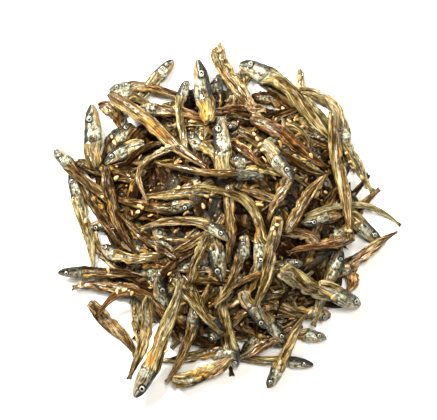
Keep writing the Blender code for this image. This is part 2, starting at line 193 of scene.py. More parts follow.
SHOWN_FISH = (
    ("crown_head", (173, 59), (152, 82), (116, 122), 1.0, 0, WITH_HEAD),
    ("north_dark_head", (217, 74), (216, 106), (203, 160), 0.9, 50, WITH_HEAD),
    ("north_east_stub", (300, 68), (301, 90), (306, 130), 0.8, 0, BODY_ONLY),
    ("north_notch_log", (252, 97), (278, 101), (305, 115), 1.15, 20, BODY_ONLY),
    ("north_notch_lower", (274, 111), (294, 119), (319, 134), 1.0, 0, BODY_ONLY),
    ("east_rim_arc", (342, 180), (348, 142), (338, 108), 0.9, 30, WITH_HEAD),
    ("east_seeded_edge", (338, 122), (353, 158), (375, 191), 1.1, 20, WITH_HEAD),
    ("south_east_amber", (349, 262), (353, 277), (349, 293), 1.3, 0, BODY_ONLY),
    ("south_east_seeded_head", (331, 317), (292, 309), (250, 298), 1.1, 0, WITH_HEAD),
    ("south_east_snout", (327, 339), (290, 331), (246, 318), 1.0, 0, WITH_HEAD),
    ("south_shore", (314, 366), (272, 361), (214, 359), 1.0, 30, WITH_HEAD),
    ("south_upper_body", (234, 349), (196, 357), (157, 362), 1.0, -20, WITH_HEAD),
    ("south_brown", (295, 322), (264, 346), (231, 360), 1.0, 0, BODY_ONLY),
    ("south_west_slab", (88, 303), (111, 325), (136, 356), 1.25, 0, BODY_ONLY),
    ("south_west_olive", (137, 288), (139, 320), (139, 354), 1.45, 10, BODY_ONLY),
    ("west_ragged", (140, 290), (104, 286), (71, 288), 1.1, 20, BODY_ONLY),
    ("west_dark_bow", (124, 270), (99, 250), (95, 222), 0.9, 40, BODY_ONLY),
    ("west_inner_head", (86, 228), (105, 224), (126, 218), 0.95, 0, FRONT_HALF),
    ("north_west_dark_head", (119, 128), (103, 156), (98, 200), 0.9, 40, WITH_HEAD),
    ("north_west_corner_log", (98, 106), (112, 111), (126, 134), 1.2, 20, BODY_ONLY),
    ("north_west_cream_head", (131, 123), (119, 138), (107, 153), 1.0, 0, FRONT_HALF),
    ("west_dark_log", (76, 161), (108, 172), (150, 186), 1.2, 30, BODY_ONLY),
    ("north_olive_log", (238, 129), (202, 123), (168, 128), 1.0, 0, WITH_HEAD),
    ("north_red_chunk", (262, 112), (232, 112), (200, 116), 1.1, 30, BODY_ONLY),
    ("north_east_dark_log", (226, 120), (266, 118), (302, 108), 1.0, 20, BODY_ONLY),
    ("centre_north_white", (189, 137), (210, 154), (243, 180), 1.0, 0, WITH_HEAD),
    ("centre_silver", (227, 159), (256, 168), (302, 180), 1.0, 0, WITH_HEAD),
    ("east_head_in_gap", (300, 223), (321, 218), (341, 211), 1.0, 0, FRONT_HALF),
    ("centre_low_amber", (262, 252), (247, 287), (220, 307), 1.1, -30, BODY_ONLY),
    ("centre_low_crossing", (300, 262), (268, 268), (232, 285), 1.0, 55, WITH_HEAD),
    ("south_inner_head", (285, 342), (273, 327), (259, 310), 0.95, 0, FRONT_HALF),
    ("south_centre_dark", (210, 340), (232, 320), (262, 300), 1.0, 20, WITH_HEAD),
    ("centre_west_dark", (128, 262), (158, 262), (196, 270), 1.0, 20, WITH_HEAD),
    ("centre_west_log", (152, 280), (176, 262), (204, 238), 1.0, 30, WITH_HEAD),
    ("north_west_upper", (109, 90), (146, 88), (196, 99), 1.0, 0, WITH_HEAD),
    ("north_west_second", (111, 97), (140, 101), (178, 124), 1.0, 20, WITH_HEAD),
    ("north_west_eye_head", (139, 110), (172, 113), (214, 122), 1.0, 0, WITH_HEAD),
    ("north_green_head", (188, 81), (181, 114), (189, 164), 0.85, 10, WITH_HEAD),
    ("north_tall_body", (217, 47), (230, 78), (263, 122), 1.35, 0, BODY_ONLY),
    ("north_spike", (224, 62), (221, 50), (219, 39.4), 0.55, 0, BODY_ONLY),
    ("north_east_inner_log", (292, 98), (316, 110), (334, 140), 1.2, 30, BODY_ONLY),
    ("north_east_arc", (298, 92), (328, 99), (343, 132), 1.1, 20, BODY_ONLY),
    ("north_cream_chunk", (245, 106), (254, 109), (265, 113), 0.9, 0, BODY_ONLY),
    ("north_east_hidden_head", (328, 137), (302, 110), (264, 84), 1.0, 0, WITH_HEAD),
    ("north_east_golden", (322, 163), (293, 145), (282, 118), 1.0, -20, WITH_HEAD),
    ("east_brown_stub", (328, 244), (356, 214), (381, 188), 1.0, 10, WITH_HEAD),
    ("east_eye_head", (382, 243), (364, 228), (344, 212), 1.15, 0, FRONT_HALF),
    ("east_thin_arc", (303, 217), (356, 205), (403, 226), 0.62, 0, BODY_ONLY),
    ("east_brown_pointer", (332, 276), (368, 252), (399, 231), 1.1, 15, WITH_HEAD),
    ("south_east_silver_head", (342, 251), (328, 281), (312, 326), 1.05, 0, WITH_HEAD),
    ("east_red_arc", (318, 247), (296, 232), (270, 236), 1.0, 20, BODY_ONLY),
    ("east_red_log", (353, 238), (324, 243), (284, 252), 1.0, 20, BODY_ONLY),
    ("west_outer_fish", (70, 171), (84, 222), (93, 272), 1.15, 0, WITH_HEAD),
    ("west_purple_body", (80, 174), (101, 214), (127, 250), 1.2, 30, BODY_ONLY),
    ("west_eye_head", (102, 246), (136, 258), (172, 250), 1.05, 0, WITH_HEAD),
    ("north_west_white_head", (105, 164), (122, 152), (145, 145), 1.0, 0, FRONT_HALF),
    ("centre_mid_head", (195, 203), (160, 208), (112, 196), 1.0, 0, WITH_HEAD),
    ("centre_wave_left", (226, 193), (186, 193), (148, 198), 1.05, 10, BODY_ONLY),
    ("centre_eye_head", (221, 279), (217, 254), (213, 227), 1.25, 0, FRONT_HALF),
    ("centre_silver_strip", (226, 226), (192, 242), (166, 256), 0.9, 30, BODY_ONLY),
    ("south_west_big_eye", (160, 276), (164, 298), (172, 326), 1.25, 0, FRONT_HALF),
    ("south_west_arch", (174, 324), (131, 290), (97, 318), 0.85, 10, BODY_ONLY),
    ("south_blue_fish", (236, 367), (228, 332), (222, 284), 1.25, 20, WITH_HEAD),
    ("south_centre_purple", (222, 330), (202, 304), (190, 278), 1.0, 40, WITH_HEAD),
    ("south_cream_head", (267, 327), (254, 309), (241, 288), 1.1, 0, FRONT_HALF),
    ("south_long_tail", (196, 302), (187, 344), (165, 383), 0.95, 20, WITH_HEAD),
    ("south_bow", (172, 379), (206, 374), (230, 354), 1.55, 0, BODY_ONLY),
    ("centre_grey", (292, 168), (276, 199), (266, 223), 0.95, 20, BODY_ONLY),
    ("centre_brown", (210, 128), (240, 150), (265, 169), 1.0, 20, BODY_ONLY),
    ("north_east_lower_log", (238, 130), (280, 158), (324, 176), 1.1, 20, BODY_ONLY),
    ("north_west_corner_fish", (91, 104), (92, 132), (96, 168), 1.35, 0, FRONT_HALF),
    ("west_high_head", (54, 150), (80, 175), (120, 212), 1.1, 20, WITH_HEAD),
    ("west_shore_head", (58, 273), (98, 272), (152, 276), 0.95, 30, WITH_HEAD),
    ("south_west_split_tail", (150, 294), (145, 336), (129, 381), 1.1, 10, BODY_ONLY),
    ("centre_vertical_head", (218, 120), (222, 146), (225, 180), 1.25, 0, FRONT_HALF),
    ("centre_white_head", (290, 180), (277, 164), (260, 145), 1.15, 0, FRONT_HALF),
    ("west_curve", (107, 166), (115, 212), (140, 254), 1.05, 20, BODY_ONLY),
    ("west_thin_cross", (178, 257), (147, 237), (118, 212), 0.75, 20, BODY_ONLY),
    ("north_west_split_fish", (111, 95), (157, 131), (208, 170), 1.25, -10, BODY_ONLY),
    ("centre_kinked", (180, 147), (143, 169), (150, 202), 0.6, 0, BODY_ONLY),
    ("centre_two_eyes", (262, 178), (206, 173), (158, 166), 1.05, 70, WITH_HEAD),
    ("north_east_long_body", (250, 119), (290, 143), (325, 169), 1.2, 20, BODY_ONLY),
    ("east_slanting_body", (283, 232), (305, 198), (327, 170), 1.05, 10, BODY_ONLY),
    ("north_big_head", (198, 60), (203, 90), (208, 126), 1.35, 10, FRONT_HALF),
    ("north_east_big_fish", (240, 63), (287, 91), (333, 143), 1.45, 0, WITH_HEAD),
    ("east_upright_body", (331, 112), (338, 165), (351, 240), 1.2, 10, BODY_ONLY),
    ("centre_upright", (229, 186), (230, 226), (229, 262), 1.0, 20, BODY_ONLY),
    ("centre_arc", (256, 268), (254, 214), (211, 191), 1.1, 10, WITH_HEAD),
    ("centre_leaning_fish", (228, 239), (190, 220), (142, 230), 0.85, 10, WITH_HEAD),
    ("centre_green_body", (275, 216), (269, 252), (255, 304), 1.15, 10, BODY_ONLY),
    ("centre_pale_body", (243, 234), (237, 267), (214, 305), 1.0, 10, WITH_HEAD),
    ("centre_straw", (207, 232), (197, 259), (183, 296), 0.85, 0, BODY_ONLY),
    ("south_diagonal", (174, 276), (195, 302), (221, 331), 0.9, 20, BODY_ONLY),
    ("south_east_big_fish", (278, 270), (312, 286), (352, 303), 1.7, 10, BODY_ONLY),
    ("south_east_big_head", (361, 305), (340, 296), (316, 284), 1.3, 0, FRONT_HALF),
    ("south_east_standing", (268, 389), (286, 352), (306, 311), 1.0, 10, WITH_HEAD),
    ("south_west_long_fish", (135, 397), (164, 336), (181, 276), 1.35, 0, WITH_HEAD),
)

# how dark to pale, how green to red, and how far the silver runs down the flank, each from 0 to 1, with
# less than 0 for fish in deep shade, whose colour is darkened as painted shade
DRESSES = {
    # painted shade: these two darken fish that lie deep among the others
    "under": (-0.16, 0.60, 0.10),
    "deep": (-0.04, 0.60, 0.10),
    "dark": (0.10, 0.60, 0.15),
    "red": (0.34, 1.00, 0.00),
    "brown": (0.40, 0.62, 0.10),
    "amber": (0.56, 0.85, 0.00),
    "olive": (0.52, 0.15, 0.35),
    "tan": (0.60, 0.45, 0.20),
    "golden": (0.74, 0.72, 0.00),
    "green": (0.70, 0.00, 0.70),
    "cream": (0.84, 0.30, 0.50),
    "silver": (0.66, 0.15, 1.00),
}
DRESSED_IN = {
    "deep": ("north_west_dark_head", "centre_west_dark", "centre_west_log"),
    "dark": ("north_notch_log", "west_dark_log", "west_purple_body", "north_east_dark_log",
             "north_dark_head", "centre_mid_head", "west_shore_head", "west_curve", "west_thin_cross",
             "north_west_cream_head"),
    "red": ("north_red_chunk", "south_west_arch", "east_red_log", "north_east_long_body",
            "centre_brown"),
    "amber": ("south_east_amber", "east_red_arc", "centre_two_eyes"),
    "brown": ("north_west_upper", "east_brown_stub", "south_west_slab", "east_slanting_body",
              "west_ragged", "west_high_head", "centre_silver_strip", "north_west_split_fish",
              "centre_upright", "south_centre_dark", "east_brown_pointer", "north_west_corner_log",
              "centre_low_crossing", "south_brown", "centre_grey", "east_head_in_gap"),
    "olive": ("north_west_second", "south_west_olive", "south_upper_body", "centre_arc", "centre_straw",
              "south_diagonal", "centre_wave_left", "centre_green_body", "west_inner_head",
              "west_eye_head", "north_east_big_fish", "north_big_head", "north_west_corner_fish",
              "centre_north_white", "west_dark_bow", "south_centre_purple"),
    "tan": ("north_east_arc", "north_tall_body", "south_west_split_tail", "east_upright_body",
            "south_east_standing", "centre_pale_body", "centre_kinked", "north_east_stub",
            "north_east_golden", "centre_leaning_fish", "south_east_seeded_head", "south_cream_head",
            "south_bow", "south_long_tail", "north_notch_lower", "north_olive_log"),
    "golden": ("centre_low_amber", "south_east_snout", "north_cream_chunk"),
    "green": ("west_outer_fish", "east_thin_arc", "north_green_head", "north_west_white_head",
              "south_blue_fish", "south_east_big_fish", "east_seeded_edge", "east_rim_arc"),
    "cream": ("centre_white_head", "east_eye_head", "south_east_big_head", "north_east_inner_log",
              "north_spike"),
    "silver": ("crown_head", "south_shore", "south_east_silver_head", "centre_silver",
               "centre_vertical_head", "south_west_long_fish", "south_west_big_eye", "south_inner_head",
               "centre_eye_head"),
}
DRESS_OF = {name: DRESSES[dress] for dress, names in DRESSED_IN.items() for name in names}

# fish whose belly shines through in amber and gold
FULL_BELLIES = {
    "south_west_long_fish", "south_bow", "centre_arc", "north_west_split_fish", "centre_vertical_head",
    "north_big_head", "south_east_amber", "centre_low_amber", "south_east_snout", "centre_two_eyes",
}

# the side to which a fish's dark back is turned, where the picture tells
BACK_TOWARDS = {
    "crown_head": (-1, 1), "north_east_big_fish": (1, 1), "west_high_head": (-1, 0),
    "west_shore_head": (0, 1), "south_east_snout": (0, 1), "south_west_long_fish": (1, -1),
    "south_bow": (0, -1), "centre_arc": (1, 1), "east_rim_arc": (1, 0), "north_big_head": (1, 0),
    "centre_vertical_head": (-1, 0), "west_outer_fish": (-1, 0), "south_east_big_head": (0, 1),
    "south_shore": (0, 1), "south_blue_fish": (1, 0), "north_west_corner_fish": (-1, 0),
    "east_eye_head": (0, 1), "centre_white_head": (1, 1), "south_west_big_eye": (1, -1),
    "south_east_silver_head": (1, 0),
}
print("fish that show:", len(SHOWN_FISH), "- with a dress of their own:", len(DRESS_OF))

# %% [markdown]
# Where a fish lies in plan is known, but not how high. A physics simulation could drop them all, and they
# would end up somewhere else. Instead each fish is laid in turn on a height map of what is already there:
# a stiff curve is fitted to the ground under it and lifted until it clears. The map then takes the new
# fish's top. The solid model was laid by the same rule, so both agree.

# %% Lay the fish on one another
MOUND_RADIUS = 60 * MM
MOUND_HEIGHT = 27 * MM
MOUND_LUMP = 0.10                   # of its lumps, as a share of its height
STICKS_IN = 0.6 * MM                # how far a fish sinks into the glaze of those below it
GIVES_WAY = 1.0 * MM                # how far the highest spot under a fish gives way
CLEAR_OF_TABLE = 0.2 * MM
STIFFNESS = (0.0, 1.2, 2.0, 3.0)    # against a shift, a tilt, a bend and an S-bend


def mound_height(x, y):
    """The height of the mound that the shown fish lie on."""
    outward = np.hypot(x, y) / MOUND_RADIUS
    lumps = 1 + MOUND_LUMP * np.sin(x / (5 * MM) + 1) * np.sin(y / (4 * MM) + 2)
    return MOUND_HEIGHT * np.clip(1 - outward ** 2, 0, 1) ** 0.75 * lumps


class Fish:
    """One fish: a curve in plan, a bent height along it, and an oval section that tapers."""

    def __init__(self, name, snout, middle, tail, girth, roll, shape):
        self.name = name
        self.snout, self.middle, self.tail = snout, middle, tail
        self.girth = girth * HEAD_HALF_DEPTH
        self.roll = math.radians(roll)
        self.shape = shape
        self.bend = np.zeros(4)
        self.luck = 0.0
        self.dress = DRESSES["brown"]

    def line(self, along):
        """Plan points of the spine, and the direction across it at each."""
        pull = 2 * self.middle - (self.snout + self.tail) / 2
        t = along[:, None]
        points = (1 - t) ** 2 * self.snout + 2 * t * (1 - t) * pull + t ** 2 * self.tail
        heading = (1 - t) * (pull - self.snout) + t * (self.tail - pull)
        heading /= np.linalg.norm(heading, axis=1)[:, None]
        return points, np.stack([-heading[:, 1], heading[:, 0]], axis=1)

    def half_sizes(self, along):
        """Half the width seen from above and half the height, with the fish rolled about its length."""
        place, depth, thickness = zip(*self.shape)
        deep = np.interp(along, place, depth) * self.girth
        thick = np.interp(along, place, thickness) * self.girth
        on_side, on_back = math.cos(self.roll), math.sin(self.roll)
        return np.hypot(deep * on_side, thick * on_back), np.hypot(deep * on_back, thick * on_side)

    def height(self, along):
        """Height of the spine above the table: a cubic about the fish's middle."""
        t = 2 * along - 1
        return self.bend @ np.stack([np.ones_like(t), t, t ** 2, t ** 3])


class Ground:
    """The height of everything laid so far, on a square grid."""

    CELL = 0.5 * MM
    REACH = 105 * MM

    def __init__(self, sunk_by=0.0):
        self.count = round(2 * self.REACH / self.CELL)
        centres = (np.arange(self.count) + 0.5) * self.CELL - self.REACH
        x, y = np.meshgrid(centres, centres, indexing="ij")
        self.top = mound_height(x, y) - sunk_by

    def cells(self, points):
        """The grid's row and column for each of some plan points."""
        index = ((points + self.REACH) / self.CELL).astype(int).clip(0, self.count - 1)
        return index[:, 0], index[:, 1]

    def under(self, fish, along):
        """The lowest height at which the spine clears what lies under each place along a fish."""
        points, across = fish.line(along)
        half_width, half_height = fish.half_sizes(along)
        needed = half_height.copy()
        for share in (-0.85, -0.5, 0.0, 0.5, 0.85):
            side = points + across * (share * half_width)[:, None]
            needed = np.maximum(needed, self.top[self.cells(side)] + half_height * math.sqrt(1 - share ** 2))
        return needed

    def cover(self, fish):
        """Raises the ground to the top of a fish that has been laid."""
        along = np.linspace(0, 1, 140)
        points, across = fish.line(along)
        half_width, half_height = fish.half_sizes(along)
        for share in np.linspace(-1, 1, 17):
            cells = self.cells(points + across * (share * half_width)[:, None])
            top = fish.height(along) + half_height * math.sqrt(1 - share ** 2)
            np.maximum.at(self.top, cells, top)


def settle(fish, ground):
    """Bends a fish down onto the ground: the stiff curve nearest to it, raised until it clears it."""
    along = np.linspace(0, 1, 17)
    t = 2 * along - 1
    curves = np.stack([np.ones_like(t), t, t ** 2, t ** 3], axis=1)
    needed = ground.under(fish, along) - STICKS_IN
    fish.bend = np.linalg.solve(curves.T @ curves + np.diag(STIFFNESS), curves.T @ needed)
    off_ground = np.max(needed - fish.height(along)) - GIVES_WAY
    off_table = np.max(fish.half_sizes(along)[1] - fish.height(along)) + CLEAR_OF_TABLE
    fish.bend[0] += max(off_ground, off_table)


def lay_heap():
    """Every shown fish in its place, and the ground that they make."""
    ground = Ground()
    heap = []
    for name, snout, middle, tail, girth, roll, shape in SHOWN_FISH:
        fish = Fish(name, plan_place(snout), plan_place(middle), plan_place(tail), girth, roll, shape)
        settle(fish, ground)
        ground.cover(fish)
        heap.append(fish)
    return heap, ground


heap, ground = lay_heap()
print("top of the heap, mm:", round(float(ground.top.max()) / MM, 1))

# %% [markdown]
# One fish shape is not enough: a few differ in the head, the shrinkage and the twist. Each is a tube of
# rings built straight along X, from the snout at 0 to the tail at 1, with depth on Y and thickness on Z in
# shares of the head's half depth. Working on a straight fish keeps the anatomy simple: the eye socket, the
# mouth and the gill covers are pushed into the flank where they belong, and the body's flanks sink in
# beside the backbone, as they do when a fish dries. Bending comes later. Two attributes go with the
# points, so that materials can tell the back from the belly and the head from the tail: how far up, out
# and along each point is, and how much it belongs to the ridged body rather than the head.

# %% Straight fish
HEAD_END = 0.245                    # the gill cover's edge, as a share of the length
EYE_PLACE = (0.098, 0.24)           # along the fish, and up from the middle in half depths
EYE_RADIUS = 0.36                   # of the head's half depth
SLENDERNESS = 14.5                  # a fish's length over its head's half depth
BROKEN_AT = 0.42                    # where a front half ends, as a share of the whole fish
TAIL_FIN_AT = 0.935                 # where the tail fin begins

# grooves along the dried flank: how far up they run, how wide, and how deep beside the first
FLANK_GROOVES = ((0.42, 0.20, 1.0), (-0.30, 0.22, 1.1), (-0.72, 0.10, 0.5))
DEEPEST_GROOVE = 0.85               # as a share of the thickness


def bump(value, middle, reach):
    """A smooth hill of height 1."""
    return np.exp(-((value - middle) / reach) ** 2)


def ramp(value, low, high):
    """0 below low, 1 above high, smooth between."""
    t = np.clip((value - low) / (high - low), 0, 1)
    return t * t * (3 - 2 * t)


def rounded(values, reach=4):
    """A profile with its corners rounded off."""
    padded = np.concatenate([np.full(reach, values[0]), values, np.full(reach, values[-1])])
    weights = np.hanning(2 * reach + 3)[1:-1]
    soft = np.convolve(padded, weights / weights.sum(), mode="valid")
    soft[0] = values[0]
    soft[-1] = values[-1]
    return soft


print("corners of a profile, rounded:", rounded(np.array([0.0, 0.0, 1.0, 1.0]), 1).round(2).tolist())

# %% [markdown]
# The smooth tube comes first. It keeps its points in arrays with one row for each ring, so that a whole
# feature, such as a groove or the gill cover, is pushed in or out by one line of arithmetic.

# %% A tube to shape
class Tube:
    """A tapering tube along X, ring by ring, whose points can be pushed about."""

    def __init__(self, shape, stations, sides):
        self.cut = BROKEN_AT if shape is FRONT_HALF else 1.0
        crowding = 1.15 if shape is WITH_HEAD else 1.0      # above 1, rings lie closer in the head
        self.along = self.cut * np.linspace(0, 1, stations) ** crowding
        place, depth, thickness = zip(*shape)
        self.deep = rounded(np.interp(self.along / self.cut, place, depth))[:, None]
        thick = rounded(np.interp(self.along / self.cut, place, thickness))[:, None]
        self.turn = np.linspace(0, 2 * math.pi, sides, endpoint=False)
        self.x = np.repeat(self.along[:, None], sides, axis=1)
        self.up = np.cos(self.turn)[None, :] * np.ones_like(self.x)
        self.out = np.sin(self.turn)[None, :] * np.ones_like(self.x)
        self.y = self.up * self.deep
        self.z = np.sign(self.out) * np.abs(self.out) ** 0.85 * thick

    def closed(self, cap_reach):
        """Points, where round the fish they are, and faces, each end closed by a point of its own."""
        stations, sides = self.x.shape
        points = np.stack([self.x, self.y, self.z], axis=2).reshape(-1, 3)
        whole_along = np.repeat(self.along[:, None], sides, axis=1)
        around = np.stack([self.up, self.out, whole_along], axis=2).reshape(-1, 3)
        first_cap = [self.x[0].min() - cap_reach, self.y[0].mean(), self.z[0].mean()]
        last_cap = [self.x[-1].mean(), self.y[-1].mean(), self.z[-1].mean()]
        points = np.concatenate([points, [first_cap, last_cap]])
        around = np.concatenate([around, [[0, 0, 0], [0, 0, self.cut]]])
        faces = []
        for corner in range(0, (stations - 1) * sides, sides):
            for side in range(sides):
                after = (side + 1) % sides
                faces.append((corner + side, corner + after, corner + sides + after, corner + sides + side))
        last = (stations - 1) * sides
        for side in range(sides):
            after = (side + 1) % sides
            faces.append((stations * sides, after, side))
            faces.append((stations * sides + 1, last + side, last + after))
        return points, around, faces


print("points of a coarse tube:", len(Tube(WITH_HEAD, 12, 8).closed(0.0)[0]))

# %% [markdown]
# Each part of the anatomy has a function of its own. The flanks sink in, the head gets its features, a
# broken end is torn, the tail fin spreads, and last the whole fish twists. Six random phases give each
# straight fish its own waviness.

# %% Anatomy of a straight fish
def sink_flanks(tube, body, sunk, phase):
    """Grooves beside the backbone, and a belly that has fallen in."""
    drift = 0.08 * np.sin(9 * tube.x + phase[0])
    grooves = sum(depth * sunk * bump(tube.up, level + drift, width)
                  for level, width, depth in FLANK_GROOVES)
    grooves *= 1 + 0.4 * np.sin(21 * tube.x + phase[1]) * np.sin(13 * tube.x + phase[2])
    before_tail = 1 - ramp(tube.x, 0.90, 0.97)
    tube.z *= 1 - np.clip(grooves * body * before_tail, 0, DEEPEST_GROOVE)
    hollow_belly = ramp(tube.x, 0.26, 0.34) * (1 - ramp(tube.x, 0.46, 0.58))
    puckers = 1 + np.sin(40 * tube.x + phase[3])
    tube.y += 0.16 * tube.deep * hollow_belly * bump(tube.up, -1, 0.5) * puckers


def shape_head(tube, jaw):
    """Eye sockets, mouth, cheeks, gill covers and a flat crown. The jaw hangs open by as much as given."""
    x, up = tube.x, tube.up
    side_on = np.sign(tube.out)
    from_eye = np.hypot((x - EYE_PLACE[0]) * SLENDERNESS, tube.y - EYE_PLACE[1] * tube.deep) / EYE_RADIUS
    tube.z -= side_on * 0.12 * (1 - ramp(from_eye, 0.8, 1.1))
    tube.z += side_on * 0.04 * bump(from_eye, 1.30, 0.14)
    mouth_line = -0.34 + 1.6 * (x - 0.01)
    tube.z -= side_on * 0.10 * bump(up, mouth_line, 0.10) * (1 - ramp(x, 0.07, 0.085))
    tube.y -= jaw * ramp(-up, 0.25, 0.45) * (1 - ramp(x, 0.02, 0.10))
    cheek_edge = 0.162 + 0.020 * up
    tube.z -= side_on * 0.05 * bump(x, cheek_edge, 0.006) * ramp(0.8 - up, 0, 0.3)
    gill_edge = HEAD_END - 0.030 * up ** 2 - 0.012 * up
    tube.z += side_on * 0.05 * bump(x, gill_edge - 0.022, 0.022)
    tube.z -= side_on * 0.12 * bump(x, gill_edge + 0.010, 0.010)
    tube.y -= 0.10 * ramp(up, 0.55, 0.95) * bump(x, 0.16, 0.08)


def tear_end(tube, shape, phase):
    """A ragged edge where the head or the tail half has broken off."""
    ragged = 0.022 * np.sin(3 * tube.turn + phase[4]) + 0.014 * np.sin(7 * tube.turn + phase[5])
    if shape is BODY_ONLY:
        tube.x += ragged[None, :] * (1 - ramp(tube.x, 0.0, 0.05))
    if shape is FRONT_HALF:
        tube.x += ragged[None, :] * ramp(tube.x, tube.cut - 0.05, tube.cut)


def spread_tail_fin(tube, phase):
    """Deeper and thinner towards the end, with a notch and a frayed edge."""
    fan = ramp(tube.x, TAIL_FIN_AT, 1.0)
    tube.y *= 1 + 1.1 * fan
    tube.z *= 1 - 0.72 * fan
    frayed = 0.010 * fan * np.sin(9 * tube.turn + phase[4])[None, :]
    tube.x -= 0.030 * fan * (1 - np.abs(tube.up)) + frayed


def twist_and_bow(tube, body, twist, phase):
    """A twist about the length and a slight wave, as drying leaves them."""
    lean = twist * body * np.sin(5.2 * tube.x + phase[5])
    y, z = tube.y, tube.z
    tube.y = y * np.cos(lean) - z * np.sin(lean) + 0.14 * body * np.sin(8.0 * tube.x + phase[0])
    tube.z = y * np.sin(lean) + z * np.cos(lean) + 0.10 * body * np.sin(10.5 * tube.x + phase[2])


def straight_fish(name, shape, seed, stations=96, sides=32, sunk=0.42, twist=0.5, jaw=0.0):
    """A dried fish along X. The shape is the table of its lengthwise sizes."""
    tube = Tube(shape, stations, sides)
    phase = np.random.default_rng(seed).uniform(0, 2 * math.pi, 6)
    headed = shape is not BODY_ONLY
    body = ramp(tube.x, 0.22, 0.30) if headed else ramp(tube.x, 0.0, 0.06)
    sink_flanks(tube, body, sunk, phase)
    if headed:
        shape_head(tube, jaw)
    tear_end(tube, shape, phase)
    spread_tail_fin(tube, phase)
    twist_and_bow(tube, body, twist, phase)
    tube.x /= tube.cut
    points, around, faces = tube.closed(cap_reach=0.004 if headed else -0.03)
    ridged = ramp(around[:, 2], HEAD_END - 0.04, HEAD_END + 0.05) if headed else np.ones(len(points))
    return master_object(name, points, faces, {"around": around, "ridged": ridged})


masters = []                        # straight fish, eyes and grains that are copied from and never shown


def add_attributes(mesh, attributes):
    """Adds named attributes to the points of a mesh: numbers, or vectors in rows of three."""
    for name, values in attributes.items():
        values = np.asarray(values, np.float32)
        if values.ndim == 2:
            mesh.attributes.new(name, "FLOAT_VECTOR", "POINT").data.foreach_set("vector", values.ravel())
        else:
            mesh.attributes.new(name, "FLOAT", "POINT").data.foreach_set("value", values)


def master_object(name, points, faces, attributes):
    """An object with named attributes on its points, to copy from."""
    mesh = bpy.data.meshes.new(name)
    mesh.from_pydata([tuple(point) for point in points], [], faces)
    add_attributes(mesh, attributes)
    masters.append(bpy.data.objects.new("straight_" + name, mesh))
    return masters[-1]


whole_fish = {
    "whole_plump": straight_fish("plump", WITH_HEAD, seed=3, sunk=0.36, twist=0.35),
    "whole_shrivelled": straight_fish("shrivelled", WITH_HEAD, seed=5, sunk=0.55, twist=0.7, jaw=0.10),
    "whole_twisted": straight_fish("twisted", WITH_HEAD, seed=8, sunk=0.46, twist=0.9),
}
front_half = straight_fish("front", FRONT_HALF, seed=17, stations=64, sunk=0.34, twist=0.2, jaw=0.05)
body_pieces = {
    "body_folded": straight_fish("folded", BODY_ONLY, seed=11, sunk=0.52, twist=0.6),
    "body_flat": straight_fish("flat", BODY_ONLY, seed=14, sunk=0.40, twist=0.4),
}
print("faces of the straight fish:", {master.name: len(master.data.polygons) for master in masters})

# %% [markdown]
# Node trees are long to write out node by node. A few short functions make the nodes that all the trees
# need, and take sockets and plain numbers alike, so that a tree reads like arithmetic.

# %% Short functions for node trees
def link_all(tree, pairs):
    """Joins (output socket, input socket) pairs."""
    for source, target in pairs:
        tree.links.new(source, target)


def feed(tree, socket, value):
    """Joins an input to a socket, or sets it to a plain value. None leaves it as it is."""
    if isinstance(value, bpy.types.NodeSocket):
        tree.links.new(value, socket)
    elif value is not None:
        socket.default_value = value


def add_node(tree, kind, **settings):
    """A node with its settings made."""
    node = tree.nodes.new(kind)
    for key, value in settings.items():
        setattr(node, key, value)
    return node


def math_node(tree, operation, *values):
    """A Math node whose inputs are sockets or numbers. Returns its output."""
    node = add_node(tree, "ShaderNodeMath", operation=operation)
    for socket, value in zip(node.inputs, values):
        feed(tree, socket, value)
    return node.outputs[0]


def vector_node(tree, operation, first, second=None, scale=None):
    """A Vector Math node whose inputs are sockets or values. Returns its output."""
    node = add_node(tree, "ShaderNodeVectorMath", operation=operation)
    feed(tree, node.inputs[0], first)
    feed(tree, node.inputs[1], second)
    feed(tree, node.inputs[3], scale)
    return node.outputs[0]


def noise_node(tree, place, scale, detail, **settings):
    """A Noise Texture node read at a place."""
    node = add_node(tree, "ShaderNodeTexNoise", **settings)
    feed(tree, node.inputs["Vector"], place)
    feed(tree, node.inputs["Scale"], scale)
    feed(tree, node.inputs["Detail"], detail)
    return node


def separated(tree, vector):
    """The three parts of a vector."""
    node = add_node(tree, "ShaderNodeSeparateXYZ")
    tree.links.new(vector, node.inputs[0])
    return node.outputs[0], node.outputs[1], node.outputs[2]


def named(tree, name, kind="FLOAT"):
    """Reads a named attribute."""
    node = add_node(tree, "GeometryNodeInputNamedAttribute", data_type=kind)
    node.inputs["Name"].default_value = name
    return node.outputs["Attribute"]


def store(tree, geometry, name, kind, value):
    """Keeps a value on the points under a name. Returns the geometry."""
    node = add_node(tree, "GeometryNodeStoreNamedAttribute", data_type=kind, domain="POINT")
    node.inputs["Name"].default_value = name
    link_all(tree, [(geometry, node.inputs["Geometry"]), (value, node.inputs["Value"])])
    return node.outputs["Geometry"]


def geometry_tree(name, inputs, output):
    """A Geometry Nodes tree with inputs given as (name, kind), and its own inputs and outputs."""
    tree = bpy.data.node_groups.new(name, "GeometryNodeTree")
    for label, kind in inputs:
        tree.interface.new_socket(label, in_out="INPUT", socket_type="NodeSocket" + kind)
    tree.interface.new_socket(output, in_out="OUTPUT", socket_type="NodeSocketGeometry")
    return tree, add_node(tree, "NodeGroupInput").outputs, add_node(tree, "NodeGroupOutput").inputs


def finished(tree, geometry, material):
    """Makes the geometry smooth and gives it its material."""
    smooth = add_node(tree, "GeometryNodeSetShadeSmooth")
    paint = add_node(tree, "GeometryNodeSetMaterial")
    link_all(tree, [
        (geometry, smooth.inputs["Geometry"]),
        (smooth.outputs["Geometry"], paint.inputs["Geometry"]),
        (material, paint.inputs["Material"]),
    ])
    return paint.outputs["Geometry"]


print("functions for nodes are ready")
